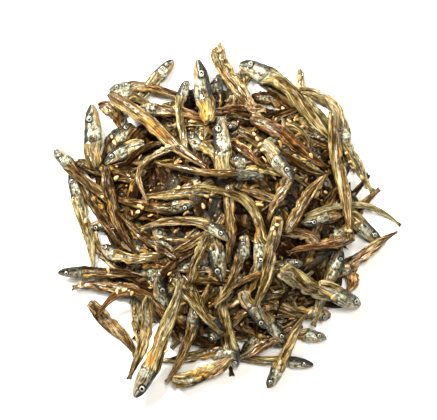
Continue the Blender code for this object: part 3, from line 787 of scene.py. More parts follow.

# %% [markdown]
# A fish in the heap is one of the straight shapes, bent along its own curve. Geometry Nodes do the
# bending: the tree gets one curve for each fish, puts a copy of the straight fish at the start of each,
# and then moves every point to the place on the curve that its X stands for, with its Y and Z measured
# across the curve. A noise that runs lengthwise makes each copy shrivel in its own way, and its depth is
# stored for the material, which paints shade into the furrows and light onto the ridges.

# %% Node tree that bends fish along curves
LIFT = 0.05 * MM                    # the lowest that any skin lies above the table
LENGTHWISE = (1.0, 1.0, 3.4)        # a furrow runs along the fish when the noise is squeezed round it
FURROW_LUCK = 40.0                  # how far apart in the noise two fish are
HEAD_FURROWS = 0.25                 # how deep furrows are on the head, beside the body
CRUMPLE_SCALE = 420.0


def copies_on_curves(tree, given):
    """The curves, and one straight copy of the fish for each, marked with its curve's number."""
    curves = add_node(tree, "GeometryNodeMeshToCurve")
    normals = add_node(tree, "GeometryNodeSetCurveNormal", mode="Z_UP")
    count = add_node(tree, "GeometryNodeAttributeDomainSize", component="CURVE")
    starts = add_node(tree, "GeometryNodePoints")
    index = add_node(tree, "GeometryNodeInputIndex")
    master = add_node(tree, "GeometryNodeObjectInfo", transform_space="ORIGINAL")
    copies = add_node(tree, "GeometryNodeInstanceOnPoints")
    real = add_node(tree, "GeometryNodeRealizeInstances")
    numbered = store(tree, starts.outputs["Points"], "fish", "INT", index.outputs["Index"])
    link_all(tree, [
        (given["Spines"], curves.inputs["Mesh"]),
        (curves.outputs["Curve"], normals.inputs["Curve"]),
        (normals.outputs["Curve"], count.inputs["Geometry"]),
        (count.outputs["Spline Count"], starts.inputs["Count"]),
        (numbered, copies.inputs["Points"]),
        (given["Straight fish"], master.inputs["Object"]),
        (master.outputs["Geometry"], copies.inputs["Instance"]),
        (copies.outputs["Instances"], real.inputs["Geometry"]),
    ])
    return normals.outputs["Curve"], real.outputs["Geometry"]


def furrows(tree, given, luck):
    """A noise from -1 to 1 in streaks along the fish, different on each."""
    stretched = vector_node(tree, "MULTIPLY", named(tree, "around", "FLOAT_VECTOR"), LENGTHWISE)
    spread = vector_node(tree, "SCALE", stretched, scale=given["Furrows round the fish"])
    noise = noise_node(tree, spread, 1.0, 2.0, noise_dimensions="4D")
    feed(tree, noise.inputs["W"], math_node(tree, "MULTIPLY", luck, FURROW_LUCK))
    return math_node(tree, "MULTIPLY", math_node(tree, "SUBTRACT", noise.outputs[0], 0.5), 2.0)


def bent_place(tree, spine, up_and_out, roll, girth):
    """Where a point lies when the straight fish is rolled, sized and laid along its spine."""
    rolled = add_node(tree, "ShaderNodeVectorRotate", rotation_type="X_AXIS")
    link_all(tree, [(up_and_out, rolled.inputs["Vector"]), (roll, rolled.inputs["Angle"])])
    _, aside, above = separated(tree, vector_node(tree, "SCALE", rolled.outputs[0], scale=girth))
    left = vector_node(tree, "SCALE", spine.outputs["Normal"], scale=-1.0)
    upward = vector_node(tree, "CROSS_PRODUCT", spine.outputs["Tangent"], left)
    offset = vector_node(tree, "ADD", vector_node(tree, "SCALE", left, scale=aside),
                         vector_node(tree, "SCALE", upward, scale=above))
    return vector_node(tree, "ADD", spine.outputs["Position"], offset)


def crumpled(tree, given, place):
    """A place shaken by a fine noise, but never below the table."""
    noise = noise_node(tree, place, CRUMPLE_SCALE, 2.0)
    aside = vector_node(tree, "SUBTRACT", noise.outputs["Color"], (0.5, 0.5, 0.5))
    shaken = vector_node(tree, "ADD", place, vector_node(tree, "SCALE", aside, scale=given["Crumple"]))
    return vector_node(tree, "MAXIMUM", shaken, (-1.0, -1.0, LIFT))


def bending_tree():
    """The tree that lays copies of one straight fish along curves."""
    tree, given, result = geometry_tree("bend_fish_along_curves", [
        ("Spines", "Geometry"), ("Straight fish", "Object"), ("Furrow depth", "Float"),
        ("Furrows round the fish", "Float"), ("Crumple", "Float"), ("Skin", "Material")], "Fish")
    curves, painted = copies_on_curves(tree, given)
    along, up, out = separated(tree, add_node(tree, "GeometryNodeInputPosition").outputs["Position"])

    def on_spine(name, kind):
        """Reads an attribute of the spine at the place that a point's X stands for."""
        sample = add_node(tree, "GeometryNodeSampleCurve", mode="FACTOR", data_type=kind)
        link_all(tree, [
            (curves, sample.inputs["Curves"]),
            (named(tree, name, kind), sample.inputs["Value"]),
            (along, sample.inputs["Factor"]),
            (named(tree, "fish", "INT"), sample.inputs["Curve Index"]),
        ])
        return sample

    spine = on_spine("build", "FLOAT_VECTOR")
    girth, roll, luck = separated(tree, spine.outputs["Value"])
    furrow = furrows(tree, given, luck)
    on_body = math_node(tree, "MULTIPLY_ADD", named(tree, "ridged"), 1 - HEAD_FURROWS, HEAD_FURROWS)
    depth = math_node(tree, "MULTIPLY", on_body, given["Furrow depth"])
    thicker = math_node(tree, "ADD", math_node(tree, "MULTIPLY", furrow, depth), 1.0)
    section = add_node(tree, "ShaderNodeCombineXYZ")
    link_all(tree, [
        (math_node(tree, "MULTIPLY", up, thicker), section.inputs["Y"]),
        (math_node(tree, "MULTIPLY", out, thicker), section.inputs["Z"]),
    ])
    final_place = crumpled(tree, given, bent_place(tree, spine, section.outputs[0], roll, girth))

    for name, kind, value in (
            ("luck", "FLOAT", luck),
            ("furrow", "FLOAT", furrow),
            ("dress", "FLOAT_VECTOR", on_spine("dress", "FLOAT_VECTOR").outputs["Value"]),
            ("belly", "FLOAT", on_spine("belly", "FLOAT").outputs["Value"])):
        painted = store(tree, painted, name, kind, value)
    move = add_node(tree, "GeometryNodeSetPosition")
    link_all(tree, [
        (painted, move.inputs["Geometry"]),
        (final_place, move.inputs["Position"]),
        (finished(tree, move.outputs["Geometry"], given["Skin"]), result["Fish"]),
    ])
    return tree


bend_fish = bending_tree()
print("nodes in the bending tree:", len(bend_fish.nodes))

# %% [markdown]
# The tree needs its curves. Each fish becomes a row of points joined by edges, and every point carries
# the fish's girth, its roll in radians and a number drawn once for the fish, which moves the noises so
# that no two fish are alike. Its dress and a full belly go with it for the material. After the modifier
# has run, the result is turned into a plain mesh.

# %% Lay every fish
SPINE_POINTS = 32
FURROW_DEPTH = 0.22                 # as a share of the fish's thickness
FURROWS_ROUND = 2.6
CRUMPLE = 0.6 * MM
COMMON_DRESSES = ("brown", "olive", "tan", "dark")


def spine_mesh(name, fishes):
    """Rows of points along the spines of some fish, with their build and dress as attributes."""
    along = np.linspace(0, 1, SPINE_POINTS)
    points, edges, build, dress, belly = [], [], [], [], []
    for fish in fishes:
        first = len(points)
        points += np.column_stack([fish.line(along)[0], fish.height(along)]).tolist()
        edges += [(first + k, first + k + 1) for k in range(SPINE_POINTS - 1)]
        build += [(fish.girth, fish.roll, fish.luck)] * SPINE_POINTS
        dress += [fish.dress] * SPINE_POINTS
        belly += [float(fish.name in FULL_BELLIES)] * SPINE_POINTS
    mesh = bpy.data.meshes.new(name)
    mesh.from_pydata(points, edges, [])
    add_attributes(mesh, {"build": build, "dress": dress, "belly": belly})
    return mesh


def run_tree(name, mesh, tree, settings):
    """Runs a node tree on a mesh and returns the result as an object with a plain mesh."""
    carrier = show(name + "_nodes", mesh)
    modifier = carrier.modifiers.new("make", "NODES")
    modifier.node_group = tree
    sockets = {item.name: item.identifier for item in tree.interface.items_tree if item.in_out == "INPUT"}
    for key, value in settings.items():
        modifier[sockets[key]] = value
    evaluated = carrier.evaluated_get(bpy.context.evaluated_depsgraph_get())
    result = bpy.data.meshes.new_from_object(evaluated)
    result.name = name
    bpy.data.objects.remove(carrier)
    return show(name, result)


def lay_pieces(kinds, furrow_depth, skin):
    """Lays each kind's fish and returns one piece for each kind."""
    pieces = []
    for name, master, fishes in kinds:
        spines = spine_mesh(name + "_spines", fishes)
        pieces.append(run_tree(name, spines, bend_fish, {
            "Straight fish": master,
            "Furrow depth": furrow_depth,
            "Furrows round the fish": FURROWS_ROUND,
            "Crumple": CRUMPLE,
            "Skin": skin,
        }))
        count = sum(len(face.vertices) - 2 for face in pieces[-1].data.polygons)
        print(name, len(fishes), "fish,", count, "triangles")
    return pieces


def dress_and_turn(heap):
    """Gives each shown fish its luck and its dress, and turns its back to the right side."""
    draws = np.random.default_rng(12)
    for fish in heap:
        fish.luck = float(draws.uniform())
    for fish in heap:
        any_dress = COMMON_DRESSES[draws.integers(len(COMMON_DRESSES))]
        fish.dress = DRESS_OF.get(fish.name, DRESSES[any_dress])
    for fish in heap:
        run = fish.tail - fish.snout
        left_of_run = np.array([-run[1], run[0]])
        any_side = draws.uniform(-1, 1, 2)
        if left_of_run @ np.array(BACK_TOWARDS.get(fish.name, any_side)) < 0:
            fish.roll = math.pi - fish.roll


def of_shape(fishes, shape):
    """The fish that have a shape."""
    return [fish for fish in fishes if fish.shape is shape]


def dealt(fishes, masters_by_name):
    """Deals fish out to some straight fish in turn: (piece name, straight fish, its fish) for each."""
    step = len(masters_by_name)
    return [(name, master, fishes[k::step]) for k, (name, master) in enumerate(masters_by_name.items())]


dress_and_turn(heap)
headed, broken = of_shape(heap, WITH_HEAD), of_shape(heap, FRONT_HALF)
front_kinds = [("front_half", front_half, broken)]
fish_kinds = dealt(headed, whole_fish) + front_kinds + dealt(of_shape(heap, BODY_ONLY), body_pieces)
fish_skin = bpy.data.materials.new("glazed_fish_skin")
fish_pieces = lay_pieces(fish_kinds, FURROW_DEPTH, fish_skin)

# %% [markdown]
# The eyes are pieces of their own, because they are smoother and glossier than the skin. A pair of
# flattened balls sits in the sockets of the straight fish, and the same tree bends them into place.

# %% Eyes
EYE_UP = 0.84 * EYE_PLACE[1]        # the head is 0.84 of its greatest depth where the eye is
EYE_BULGE = 0.24                    # half the eye's thickness, in head half depths
EYE_OUT = 0.42                      # the middle of the eye, out from the middle of the head


def straight_eyes(name, cut):
    """Both eyes of a straight fish cut off at a share of its length, with the distance from the pupil."""
    data = bmesh.new()
    for side in (1, -1):
        made = bmesh.ops.create_uvsphere(data, u_segments=16, v_segments=9, radius=1)
        for vert in made["verts"]:
            x, y, z = vert.co
            vert.co = (EYE_PLACE[0] + x * EYE_RADIUS / SLENDERNESS,
                       EYE_UP + y * EYE_RADIUS,
                       side * EYE_OUT + z * EYE_BULGE)
    data.verts.ensure_lookup_table()
    points = np.array([vert.co for vert in data.verts])
    faces = [[vert.index for vert in face.verts] for face in data.faces]
    data.free()
    aside, above = (points[:, 0] - EYE_PLACE[0]) * SLENDERNESS, points[:, 1] - EYE_UP
    from_pupil = np.hypot(aside, above) / EYE_RADIUS
    points[:, 0] /= cut
    count = len(points)
    return master_object(name, points, faces, {
        "around": np.zeros((count, 3)), "ridged": np.zeros(count), "from_pupil": from_pupil})


eye_gel = bpy.data.materials.new("dried_eye")
eye_kinds = [
    ("eyes_of_whole_fish", straight_eyes("eyes", 1.0), headed),
    ("eyes_of_front_halves", straight_eyes("eyes_of_front", BROKEN_AT), broken),
]
eye_pieces = lay_pieces(eye_kinds, 0.0, eye_gel)

# %% [markdown]
# Between the fish that show, more fish are seen below. They don't need to be placed by hand: seeded draws
# strew them over the mound in two layers, a little under its surface, and round its foot in a ring. They
# use the same tree with a coarser straight fish, and many wear the under dress, darkened as painted
# shade. Any that would stick out over the shown fish is left out.

# %% Fish below
# the under dress darkens these fish as painted shade
UNDER_LAYERS = (                    # depth below the mound, count, seed, and dresses to draw from
    (5.5 * MM, 90, 21, ("under",)),
    (2.6 * MM, 130, 22, ("under", "dark", "under", "olive", "brown")),
)
RIM_FISH = 90
RIM_REACH = (46 * MM, 64 * MM)
RIM_DEPTH = 6 * MM                  # below the mound, for the fish round its foot
RIM_DRESSES = ("dark", "brown", "olive", "under")
LAYER_REACH = 0.94 * MOUND_RADIUS
COVERED_BY = 1.0 * MM               # a place is covered when the shown fish are this far above the mound
STAYS_BELOW = 0.2 * MM              # how far under the shown fish the others stay there


def unit(bearing):
    """The direction of a bearing in plan."""
    return np.array([math.cos(bearing), math.sin(bearing)])


def strew_layer(depth, count, seed, dresses):
    """Fish at seeded random places that follow the mound at some depth below its surface."""
    rng = np.random.default_rng(seed)
    lower_ground = Ground(depth)
    layer = []
    for number in range(count):
        away = LAYER_REACH * math.sqrt(rng.uniform())
        bearing, heading = rng.uniform(0, 2 * math.pi, 2)
        middle = away * unit(bearing)
        half_run = rng.uniform(20, 25) * MM * unit(heading)
        bow = rng.uniform(-5, 5) * MM * unit(heading + math.pi / 2)
        shape = WITH_HEAD if rng.uniform() < 0.6 else BODY_ONLY
        girth, roll = rng.uniform(0.85, 1.1), rng.uniform(-40, 60)
        fish = Fish(f"under_{seed}_{number}", middle + half_run, middle + bow, middle - half_run,
                    girth, roll, shape)
        settle(fish, lower_ground)
        if not sticks_out(fish):
            fish.luck = float(rng.uniform())
            fish.dress = DRESSES[rng.choice(dresses)]
            layer.append(fish)
    return layer


def sticks_out(fish):
    """Whether a lower fish would show through the ones that lie over it."""
    along = np.linspace(0, 1, 40)
    cells = ground.cells(fish.line(along)[0])
    bare = mound_height(*fish.line(along)[0].T)
    covered = ground.top[cells] > bare + COVERED_BY
    over = fish.height(along) + fish.half_sizes(along)[1] - ground.top[cells]
    return bool(np.any(over[covered] > -STAYS_BELOW))


def strew_rim(count, seed):
    """Fish on the table round the mound's foot, more or less along the rim."""
    rng = np.random.default_rng(seed)
    rim_ground = Ground(RIM_DEPTH)
    layer = []
    for number in range(count):
        bearing = 2 * math.pi * (number + rng.uniform(-0.4, 0.4)) / count
        middle = rng.uniform(*RIM_REACH) * unit(bearing)
        heading = bearing + math.pi / 2 * rng.choice((-1, 1)) + rng.uniform(-0.55, 0.55)
        half_run = rng.uniform(16, 21) * MM * unit(heading)
        shape = WITH_HEAD if rng.uniform() < 0.5 else BODY_ONLY
        girth, roll = rng.uniform(0.8, 1.0), rng.uniform(-20, 50)
        fish = Fish(f"rim_{number}", 0.92 * middle + half_run, 1.02 * middle, 0.92 * middle - half_run,
                    girth, roll, shape)
        settle(fish, rim_ground)
        if not sticks_out(fish):
            rim_ground.cover(fish)
            fish.luck = float(rng.uniform())
            fish.dress = DRESSES[rng.choice(RIM_DRESSES)]
            layer.append(fish)
    return layer


under_fish = [fish for layer in UNDER_LAYERS for fish in strew_layer(*layer)]
under_fish += strew_rim(RIM_FISH, 23)
coarse_whole = straight_fish("coarse_whole", WITH_HEAD, seed=3, stations=44, sides=16)
coarse_body = straight_fish("coarse_body", BODY_ONLY, seed=11, stations=40, sides=16)
under_kinds = [
    ("under_whole", coarse_whole, of_shape(under_fish, WITH_HEAD)),
    ("under_body", coarse_body, of_shape(under_fish, BODY_ONLY)),
]
under_pieces = lay_pieces(under_kinds, FURROW_DEPTH, fish_skin)

print("under fish:", len(under_fish))

# %% [markdown]
# Under the fish is the mound itself, as a dark floor for the gaps, nearly black as painted shade: half a
# ball, flattened to the mound's height and roughened. The height map is then made once more over the core
# and all the fish, because seeds and crumbs are to lie on top of everything.

# %% The core, and the surface of the heap
CORE_DEPTH = 5 * MM                 # below the mound
CORE_ROUGHNESS = 0.8 * MM


def flattened_dome():
    """The mound as a rough, closed lump that stands on the table."""
    data = bmesh.new()
    bmesh.ops.create_uvsphere(data, u_segments=96, v_segments=64, radius=MOUND_RADIUS - 3 * MM)
    below = [vert for vert in data.verts if vert.co.z < -0.01 * MOUND_RADIUS]
    bmesh.ops.delete(data, geom=below, context="VERTS")
    bmesh.ops.holes_fill(data, edges=[edge for edge in data.edges if edge.is_boundary])
    for vert in data.verts:
        level = float(mound_height(vert.co.x, vert.co.y)) - CORE_DEPTH
        rough = CORE_ROUGHNESS * math.sin(vert.co.x / (1.7 * MM)) * math.sin(vert.co.y / (1.3 * MM) + 1)
        if vert.co.z > 0.01 * MOUND_RADIUS:
            vert.co.z = max(level + rough, 0.3 * MM)
        else:
            vert.co.z = 0.1 * MM
    bmesh.ops.recalc_face_normals(data, faces=data.faces)
    return finished_mesh("core", data)


surface = Ground(CORE_DEPTH)
surface.top = surface.top.clip(0)
for fish in heap + under_fish:
    surface.cover(fish)

core = show("core", flattened_dome())
core_shade_paint = bpy.data.materials.new("core_painted_shade")
core.data.materials.append(core_shade_paint)
print("faces of the core:", len(core.data.polygons))

# %% [markdown]
# Sesame seeds stick to the glaze, mostly in the dips and along the backs of the fish. Each is a flattened
# drop of a few dozen faces. The seeds that show best have their own places, and a seeded draw adds the
# rest. A second tree stands a copy of the seed on each point, turned to lie on the surface there.

# %% Sesame seeds
SEED_HALF_SIZE = (1.45 * MM, 0.85 * MM, 0.5 * MM)
SHOWN_SEEDS = (
    (164, 150), (169, 148), (115, 143), (139, 212), (207, 197), (213, 195), (251, 188), (274, 224),
    (317, 194), (362, 177), (347, 153), (353, 168), (283, 108), (275, 121), (287, 125), (253, 136),
    (256, 141), (347, 266), (320, 313), (326, 313), (300, 77), (242, 323), (109, 270), (80, 283),
    (144, 208), (272, 232), (180, 188), (196, 184), (350, 162), (258, 147), (322, 322), (299, 85),
    (118, 291), (280, 362), (300, 188), (305, 180), (207, 122), (117, 178), (112, 137), (118, 140),
    (261, 152), (255, 131), (289, 121), (270, 228), (276, 218), (318, 188), (211, 201), (141, 206),
    (329, 308), (316, 309), (246, 320), (193, 123), (219, 52), (214, 48),
)
STREWN_SEEDS = 26
SEED_REACH = 78 * MM                # from the middle of the heap
STEEPEST = 1.2                      # slope on which a grain still lies flat
DIP_REACH = 3.5 * MM                # a dip is lower than its surroundings this far away
DIP_DEPTH = 0.8 * MM


def sesame_seed():
    """A flattened drop, pointed at one end."""
    data = bmesh.new()
    bmesh.ops.create_uvsphere(data, u_segments=8, v_segments=6, radius=1)
    for vert in data.verts:
        x, y, z = vert.co
        vert.co = (z * SEED_HALF_SIZE[0],
                   y * (1 - 0.38 * z) * SEED_HALF_SIZE[1],
                   x * (1 - 0.3 * z) * SEED_HALF_SIZE[2])
    bmesh.ops.recalc_face_normals(data, faces=data.faces)
    masters.append(bpy.data.objects.new("one_seed", finished_mesh("one_seed", data)))
    return masters[-1]


def points_on_heap(places, lift, tumble, seed):
    """Loose points on top of the heap, each with a spin and the direction the surface faces there."""
    rng = np.random.default_rng(seed)
    soft = surface.top.copy()
    for axis in (0, 1):
        soft = (np.roll(soft, 1, axis) + 2 * soft + np.roll(soft, -1, axis)) / 4
    slope_x, slope_y = np.gradient(soft, surface.CELL)
    points, facing, spin = [], [], []
    for place in places:
        cell = surface.cells(place[None, :])
        points.append((place[0], place[1], float(surface.top[cell][0]) + lift))
        lean = np.array([-slope_x[cell][0], -slope_y[cell][0], 1.0])
        lean[:2] = lean[:2].clip(-STEEPEST, STEEPEST) + tumble * rng.normal(size=2)
        facing.append(lean / np.linalg.norm(lean))
        spin.append(rng.uniform(0, 2 * math.pi))
    mesh = bpy.data.meshes.new("scattered_points")
    mesh.from_pydata(points, [], [])
    add_attributes(mesh, {"facing": facing, "spin": spin})
    return mesh


def scattering_tree():
    """The tree that lays a copy of one small piece on each point."""
    tree, given, result = geometry_tree("lay_copies_on_points", [
        ("Points", "Geometry"), ("Piece", "Object"), ("Smallest", "Float"), ("Largest", "Float"),
        ("Draw", "Int"), ("Paint", "Material")], "Copies")
    piece = add_node(tree, "GeometryNodeObjectInfo", transform_space="ORIGINAL")
    upright = add_node(tree, "FunctionNodeAlignRotationToVector", axis="Z")
    turned = add_node(tree, "FunctionNodeRotateRotation", rotation_space="LOCAL")
    spin = add_node(tree, "ShaderNodeCombineXYZ")
    size = add_node(tree, "FunctionNodeRandomValue", data_type="FLOAT")
    luck = add_node(tree, "FunctionNodeRandomValue", data_type="FLOAT")
    copies = add_node(tree, "GeometryNodeInstanceOnPoints")
    real = add_node(tree, "GeometryNodeRealizeInstances")
    smallest, largest_size = [socket for socket in size.inputs if socket.enabled][:2]
    drawn_size, drawn_luck = (next(socket for socket in node.outputs if socket.enabled)
                              for node in (size, luck))
    link_all(tree, [
        (given["Piece"], piece.inputs["Object"]),
        (named(tree, "facing", "FLOAT_VECTOR"), upright.inputs["Vector"]),
        (named(tree, "spin"), spin.inputs["Z"]),
        (upright.outputs["Rotation"], turned.inputs["Rotation"]),
        (spin.outputs[0], turned.inputs["Rotate By"]),
        (given["Smallest"], smallest),
        (given["Largest"], largest_size),
        (given["Draw"], size.inputs["Seed"]),
        (store(tree, given["Points"], "luck", "FLOAT", drawn_luck), copies.inputs["Points"]),
        (piece.outputs["Geometry"], copies.inputs["Instance"]),
        (turned.outputs["Rotation"], copies.inputs["Rotation"]),
        (drawn_size, copies.inputs["Scale"]),
        (copies.outputs["Instances"], real.inputs["Geometry"]),
        (finished(tree, real.outputs["Geometry"], given["Paint"]), result["Copies"]),
    ])
    return tree


def strew_places(count, reach, in_dips, seed):
    """Seeded random places within reach of the middle, anywhere on the heap or only in its dips."""
    rng = np.random.default_rng(seed)
    steps = round(DIP_REACH / surface.CELL)
    around = [np.roll(surface.top, (steps * across, steps * down), (0, 1)) for across, down in
              ((1, 0), (-1, 0), (0, 1), (0, -1), (1, 1), (-1, -1), (1, -1), (-1, 1))]
    dip = surface.top < sum(around) / len(around) - DIP_DEPTH
    places = []
    while len(places) < count:
        place = reach * math.sqrt(rng.uniform()) * unit(rng.uniform(0, 2 * math.pi))
        cell = surface.cells(place[None, :])
        if surface.top[cell][0] > 4 * MM and (dip[cell][0] or not in_dips):
            places.append(place)
    return places


def lay_grains(name, places, lift, tumble, seed, settings):
    """Lays copies of a grain at some places of the heap and returns them as one piece."""
    return run_tree(name, points_on_heap(places, lift, tumble, seed), lay_copies, settings)


seed_places = [plan_place(pixel) for pixel in SHOWN_SEEDS]
seed_places += strew_places(STREWN_SEEDS, SEED_REACH, in_dips=False, seed=31)
seed_hull = bpy.data.materials.new("toasted_seed_hull")
lay_copies = scattering_tree()
seeds = lay_grains("sesame_seeds", seed_places, lift=0.2 * MM, tumble=0.2, seed=32, settings={
    "Piece": sesame_seed(), "Smallest": 0.9, "Largest": 1.2, "Draw": 5, "Paint": seed_hull})
print("seeds:", len(seed_places))

# %% [markdown]
# Tossing in the pan breaks some fish. Flakes of skin curl up like wood shavings, and crumbs of flesh
# gather in the gaps. They go where the height map dips below its surroundings, laid by the same tree as
# the seeds.

# %% Flakes and crumbs
FLAKES = 130
FLAKE_REACH = 74 * MM
FLAKE_LENGTH = 5.0 * MM
FLAKE_HALF_WIDTH = 1.5 * MM
FLAKE_THICKNESS = 0.3 * MM
FLAKE_CURL = 2.2                    # in radians, from edge to edge
CRUMBS = 110
CRUMB_REACH = 76 * MM
CRUMB_RADII = (0.45 * MM, 1.25 * MM)


def skin_flake():
    """A thin chip of skin, curled across its length, with an uneven outline."""
    rng = np.random.default_rng(41)
    rows, columns = 5, 4
    top = []
    for row in range(rows):
        for column in range(columns):
            x = (row / (rows - 1) - 0.5) * FLAKE_LENGTH * rng.uniform(0.85, 1.1)
            turn = (column / (columns - 1) - 0.5) * FLAKE_CURL
            narrowing = 1 - 0.5 * abs(2 * row / (rows - 1) - 1)
            width = FLAKE_HALF_WIDTH * narrowing * rng.uniform(0.8, 1.1)
            top.append((x, width * math.sin(turn), 1.1 * MM * math.cos(turn) + 60 * x * x))
    points = top + [(x, 0.85 * y, z - FLAKE_THICKNESS) for x, y, z in top]
    below = rows * columns
    faces = []
    for row in range(rows - 1):
        for column in range(columns - 1):
            a = row * columns + column
            faces.append((a, a + columns, a + columns + 1, a + 1))
            faces.append((below + a, below + a + 1, below + a + columns + 1, below + a + columns))
    near_edge = [row * columns for row in range(rows)]
    last_row = [(rows - 1) * columns + column for column in range(1, columns)]
    far_edge = [row * columns + columns - 1 for row in range(rows - 2, -1, -1)]
    first_row = list(range(columns - 2, 0, -1))
    rim = near_edge + last_row + far_edge + first_row
    for a, b in zip(rim, rim[1:] + rim[:1]):
        faces.append((b, a, below + a, below + b))
    return outward_object("one_flake", points, faces)


def flesh_crumb():
    """A small lump with flat spots."""
    rng = np.random.default_rng(43)
    data = bmesh.new()
    bmesh.ops.create_icosphere(data, subdivisions=1, radius=1)
    points = [tuple(vert.co * rng.uniform(*CRUMB_RADII)) for vert in data.verts]
    faces = [tuple(vert.index for vert in face.verts) for face in data.faces]
    data.free()
    return outward_object("one_crumb", [(1.3 * x, y, 0.8 * z) for x, y, z in points], faces)


def outward_object(name, points, faces):
    """A mesh object whose faces all look outwards, to copy from."""
    mesh = bpy.data.meshes.new(name)
    mesh.from_pydata(points, [], faces)
    data = bmesh.new()
    data.from_mesh(mesh)
    bmesh.ops.recalc_face_normals(data, faces=data.faces)
    data.to_mesh(mesh)
    data.free()
    masters.append(bpy.data.objects.new(name, mesh))
    return masters[-1]


scraps = bpy.data.materials.new("glazed_scraps")
flake_places = strew_places(FLAKES, FLAKE_REACH, in_dips=True, seed=45)
flakes = lay_grains("skin_flakes", flake_places, lift=0, tumble=0.5, seed=46, settings={
    "Piece": skin_flake(), "Smallest": 0.4, "Largest": 1.0, "Draw": 6, "Paint": scraps})
crumb_places = strew_places(CRUMBS, CRUMB_REACH, in_dips=True, seed=47)
crumbs = lay_grains("flesh_crumbs", crumb_places, lift=0, tumble=0.5, seed=48, settings={
    "Piece": flesh_crumb(), "Smallest": 0.4, "Largest": 1.1, "Draw": 7, "Paint": scraps})
print("flakes and crumbs:", FLAKES, CRUMBS)

# %% [markdown]
# Two effects occur in more than one material, so each is a shader node group with named inputs. The first
# is a mottle that can be stretched along a fish and is different on each piece. The second turns a height
# and a fine grain into relief.

# %% Effects that the materials share
MOTTLE_LUCK = 37.0                  # how far apart in the noise two pieces are
GRAIN_SCALE = 1300.0
RELIEF_STRENGTH = 0.9


def shader_group(name, inputs, output, kind):
    """A new shader node group with inputs given as (name, kind, value) and one output."""
    tree = bpy.data.node_groups.new(name, "ShaderNodeTree")
    for label, socket_kind, value in inputs:
        socket = tree.interface.new_socket(label, in_out="INPUT", socket_type=socket_kind)
        socket.default_value = value
    tree.interface.new_socket(output, in_out="OUTPUT", socket_type=kind)
    return tree, add_node(tree, "NodeGroupInput").outputs, add_node(tree, "NodeGroupOutput").inputs


def make_mottle():
    """Noise at a place stretched as asked, moved aside by the piece's own luck."""
    tree, given, result = shader_group("own_mottle", [
        ("Place", "NodeSocketVector", (0.0, 0.0, 0.0)), ("Stretch", "NodeSocketVector", (1.0, 1.0, 1.0)),
        ("Luck", "NodeSocketFloat", 0.0), ("Detail", "NodeSocketFloat", 3.0),
        ("Roughness", "NodeSocketFloat", 0.55)], "Value", "NodeSocketFloat")
    aside = add_node(tree, "ShaderNodeCombineXYZ")
    tree.links.new(math_node(tree, "MULTIPLY", given["Luck"], MOTTLE_LUCK), aside.inputs["Z"])
    own_place = vector_node(tree, "ADD", given["Place"], aside.outputs[0])
    stretched = vector_node(tree, "MULTIPLY", own_place, given["Stretch"])
    texture = noise_node(tree, stretched, 1.0, given["Detail"])
    link_all(tree, [
        (given["Roughness"], texture.inputs["Roughness"]),
        (texture.outputs[0], result["Value"]),
    ])
    return tree


def make_relief():
    """The normal of a surface that has a height and, on top, a fine grain."""
    tree, given, result = shader_group("fine_relief", [
        ("Height", "NodeSocketFloat", 0.0), ("Grain", "NodeSocketFloat", 0.5),
        ("Depth", "NodeSocketFloat", 0.5 * MM)], "Normal", "NodeSocketVector")
    place = add_node(tree, "ShaderNodeTexCoord").outputs["Object"]
    grain = noise_node(tree, place, GRAIN_SCALE, 3.0).outputs[0]
    relief = add_node(tree, "ShaderNodeBump")
    relief.inputs["Strength"].default_value = RELIEF_STRENGTH
    link_all(tree, [
        (math_node(tree, "MULTIPLY_ADD", grain, given["Grain"], given["Height"]), relief.inputs["Height"]),
        (given["Depth"], relief.inputs["Distance"]),
        (relief.outputs["Normal"], result["Normal"]),
    ])
    return tree


def use_group(tree, group, **values):
    """Adds a node group, its inputs set to sockets or plain values, and gives its first output."""
    node = add_node(tree, "ShaderNodeGroup")
    node.node_tree = group
    for label, value in values.items():
        feed(tree, node.inputs[label], value)
    return node.outputs[0]


own_mottle = make_mottle()
fine_relief = make_relief()
print("shared effects:", own_mottle.name, fine_relief.name)

# %% [markdown]
# Colours are worked out from masks between 0 and 1: a step, a line, a product of several conditions. These
# short functions make the nodes for them, so that the recipe of each material reads like a sentence.

# %% Masks and mixtures
def shader_nodes(material):
    """The material's tree and its Principled BSDF."""
    material.use_nodes = True
    return material.node_tree, material.node_tree.nodes["Principled BSDF"]


def attribute(tree, name, output="Fac"):
    """Reads an attribute of the mesh in a material."""
    node = add_node(tree, "ShaderNodeAttribute", attribute_type="GEOMETRY", attribute_name=name)
    return node.outputs[output]


def colour_ramp(tree, value, stops):
    """A colour ramp with the stops given as (place, (r, g, b))."""
    node = add_node(tree, "ShaderNodeValToRGB")
    while len(node.color_ramp.elements) < len(stops):
        node.color_ramp.elements.new(0.5)
    for element, (place, colour) in zip(node.color_ramp.elements, stops):
        element.position = place
        element.color = (*colour, 1.0)
    tree.links.new(value, node.inputs["Fac"])
    return node.outputs["Color"]


def smooth_step(tree, value, low, high, invert=False):
    """0 below low and 1 above high, or the other way round."""
    node = add_node(tree, "ShaderNodeMapRange", interpolation_type="SMOOTHSTEP")
    feed(tree, node.inputs["Value"], value)
    feed(tree, node.inputs["From Min"], low)
    feed(tree, node.inputs["From Max"], high)
    feed(tree, node.inputs["To Min"], 1.0 if invert else 0.0)
    feed(tree, node.inputs["To Max"], 0.0 if invert else 1.0)
    return node.outputs["Result"]


def mix_colour(tree, share, first, second, blend="MIX"):
    """Mixes two colours, each a socket or a value, by a share that is a socket or a number."""
    node = add_node(tree, "ShaderNodeMix", data_type="RGBA", blend_type=blend)
    feed(tree, node.inputs[0], share)
    for socket, colour in ((node.inputs[6], first), (node.inputs[7], second)):
        feed(tree, socket, (*colour, 1.0) if isinstance(colour, tuple) else colour)
    return node.outputs[2]


def line_mask(tree, value, middle, half_width):
    """1 where a value is at its middle, 0 beyond half a width from it."""
    away = math_node(tree, "ABSOLUTE", math_node(tree, "SUBTRACT", value, middle))
    return smooth_step(tree, away, 0.3 * half_width, half_width, invert=True)


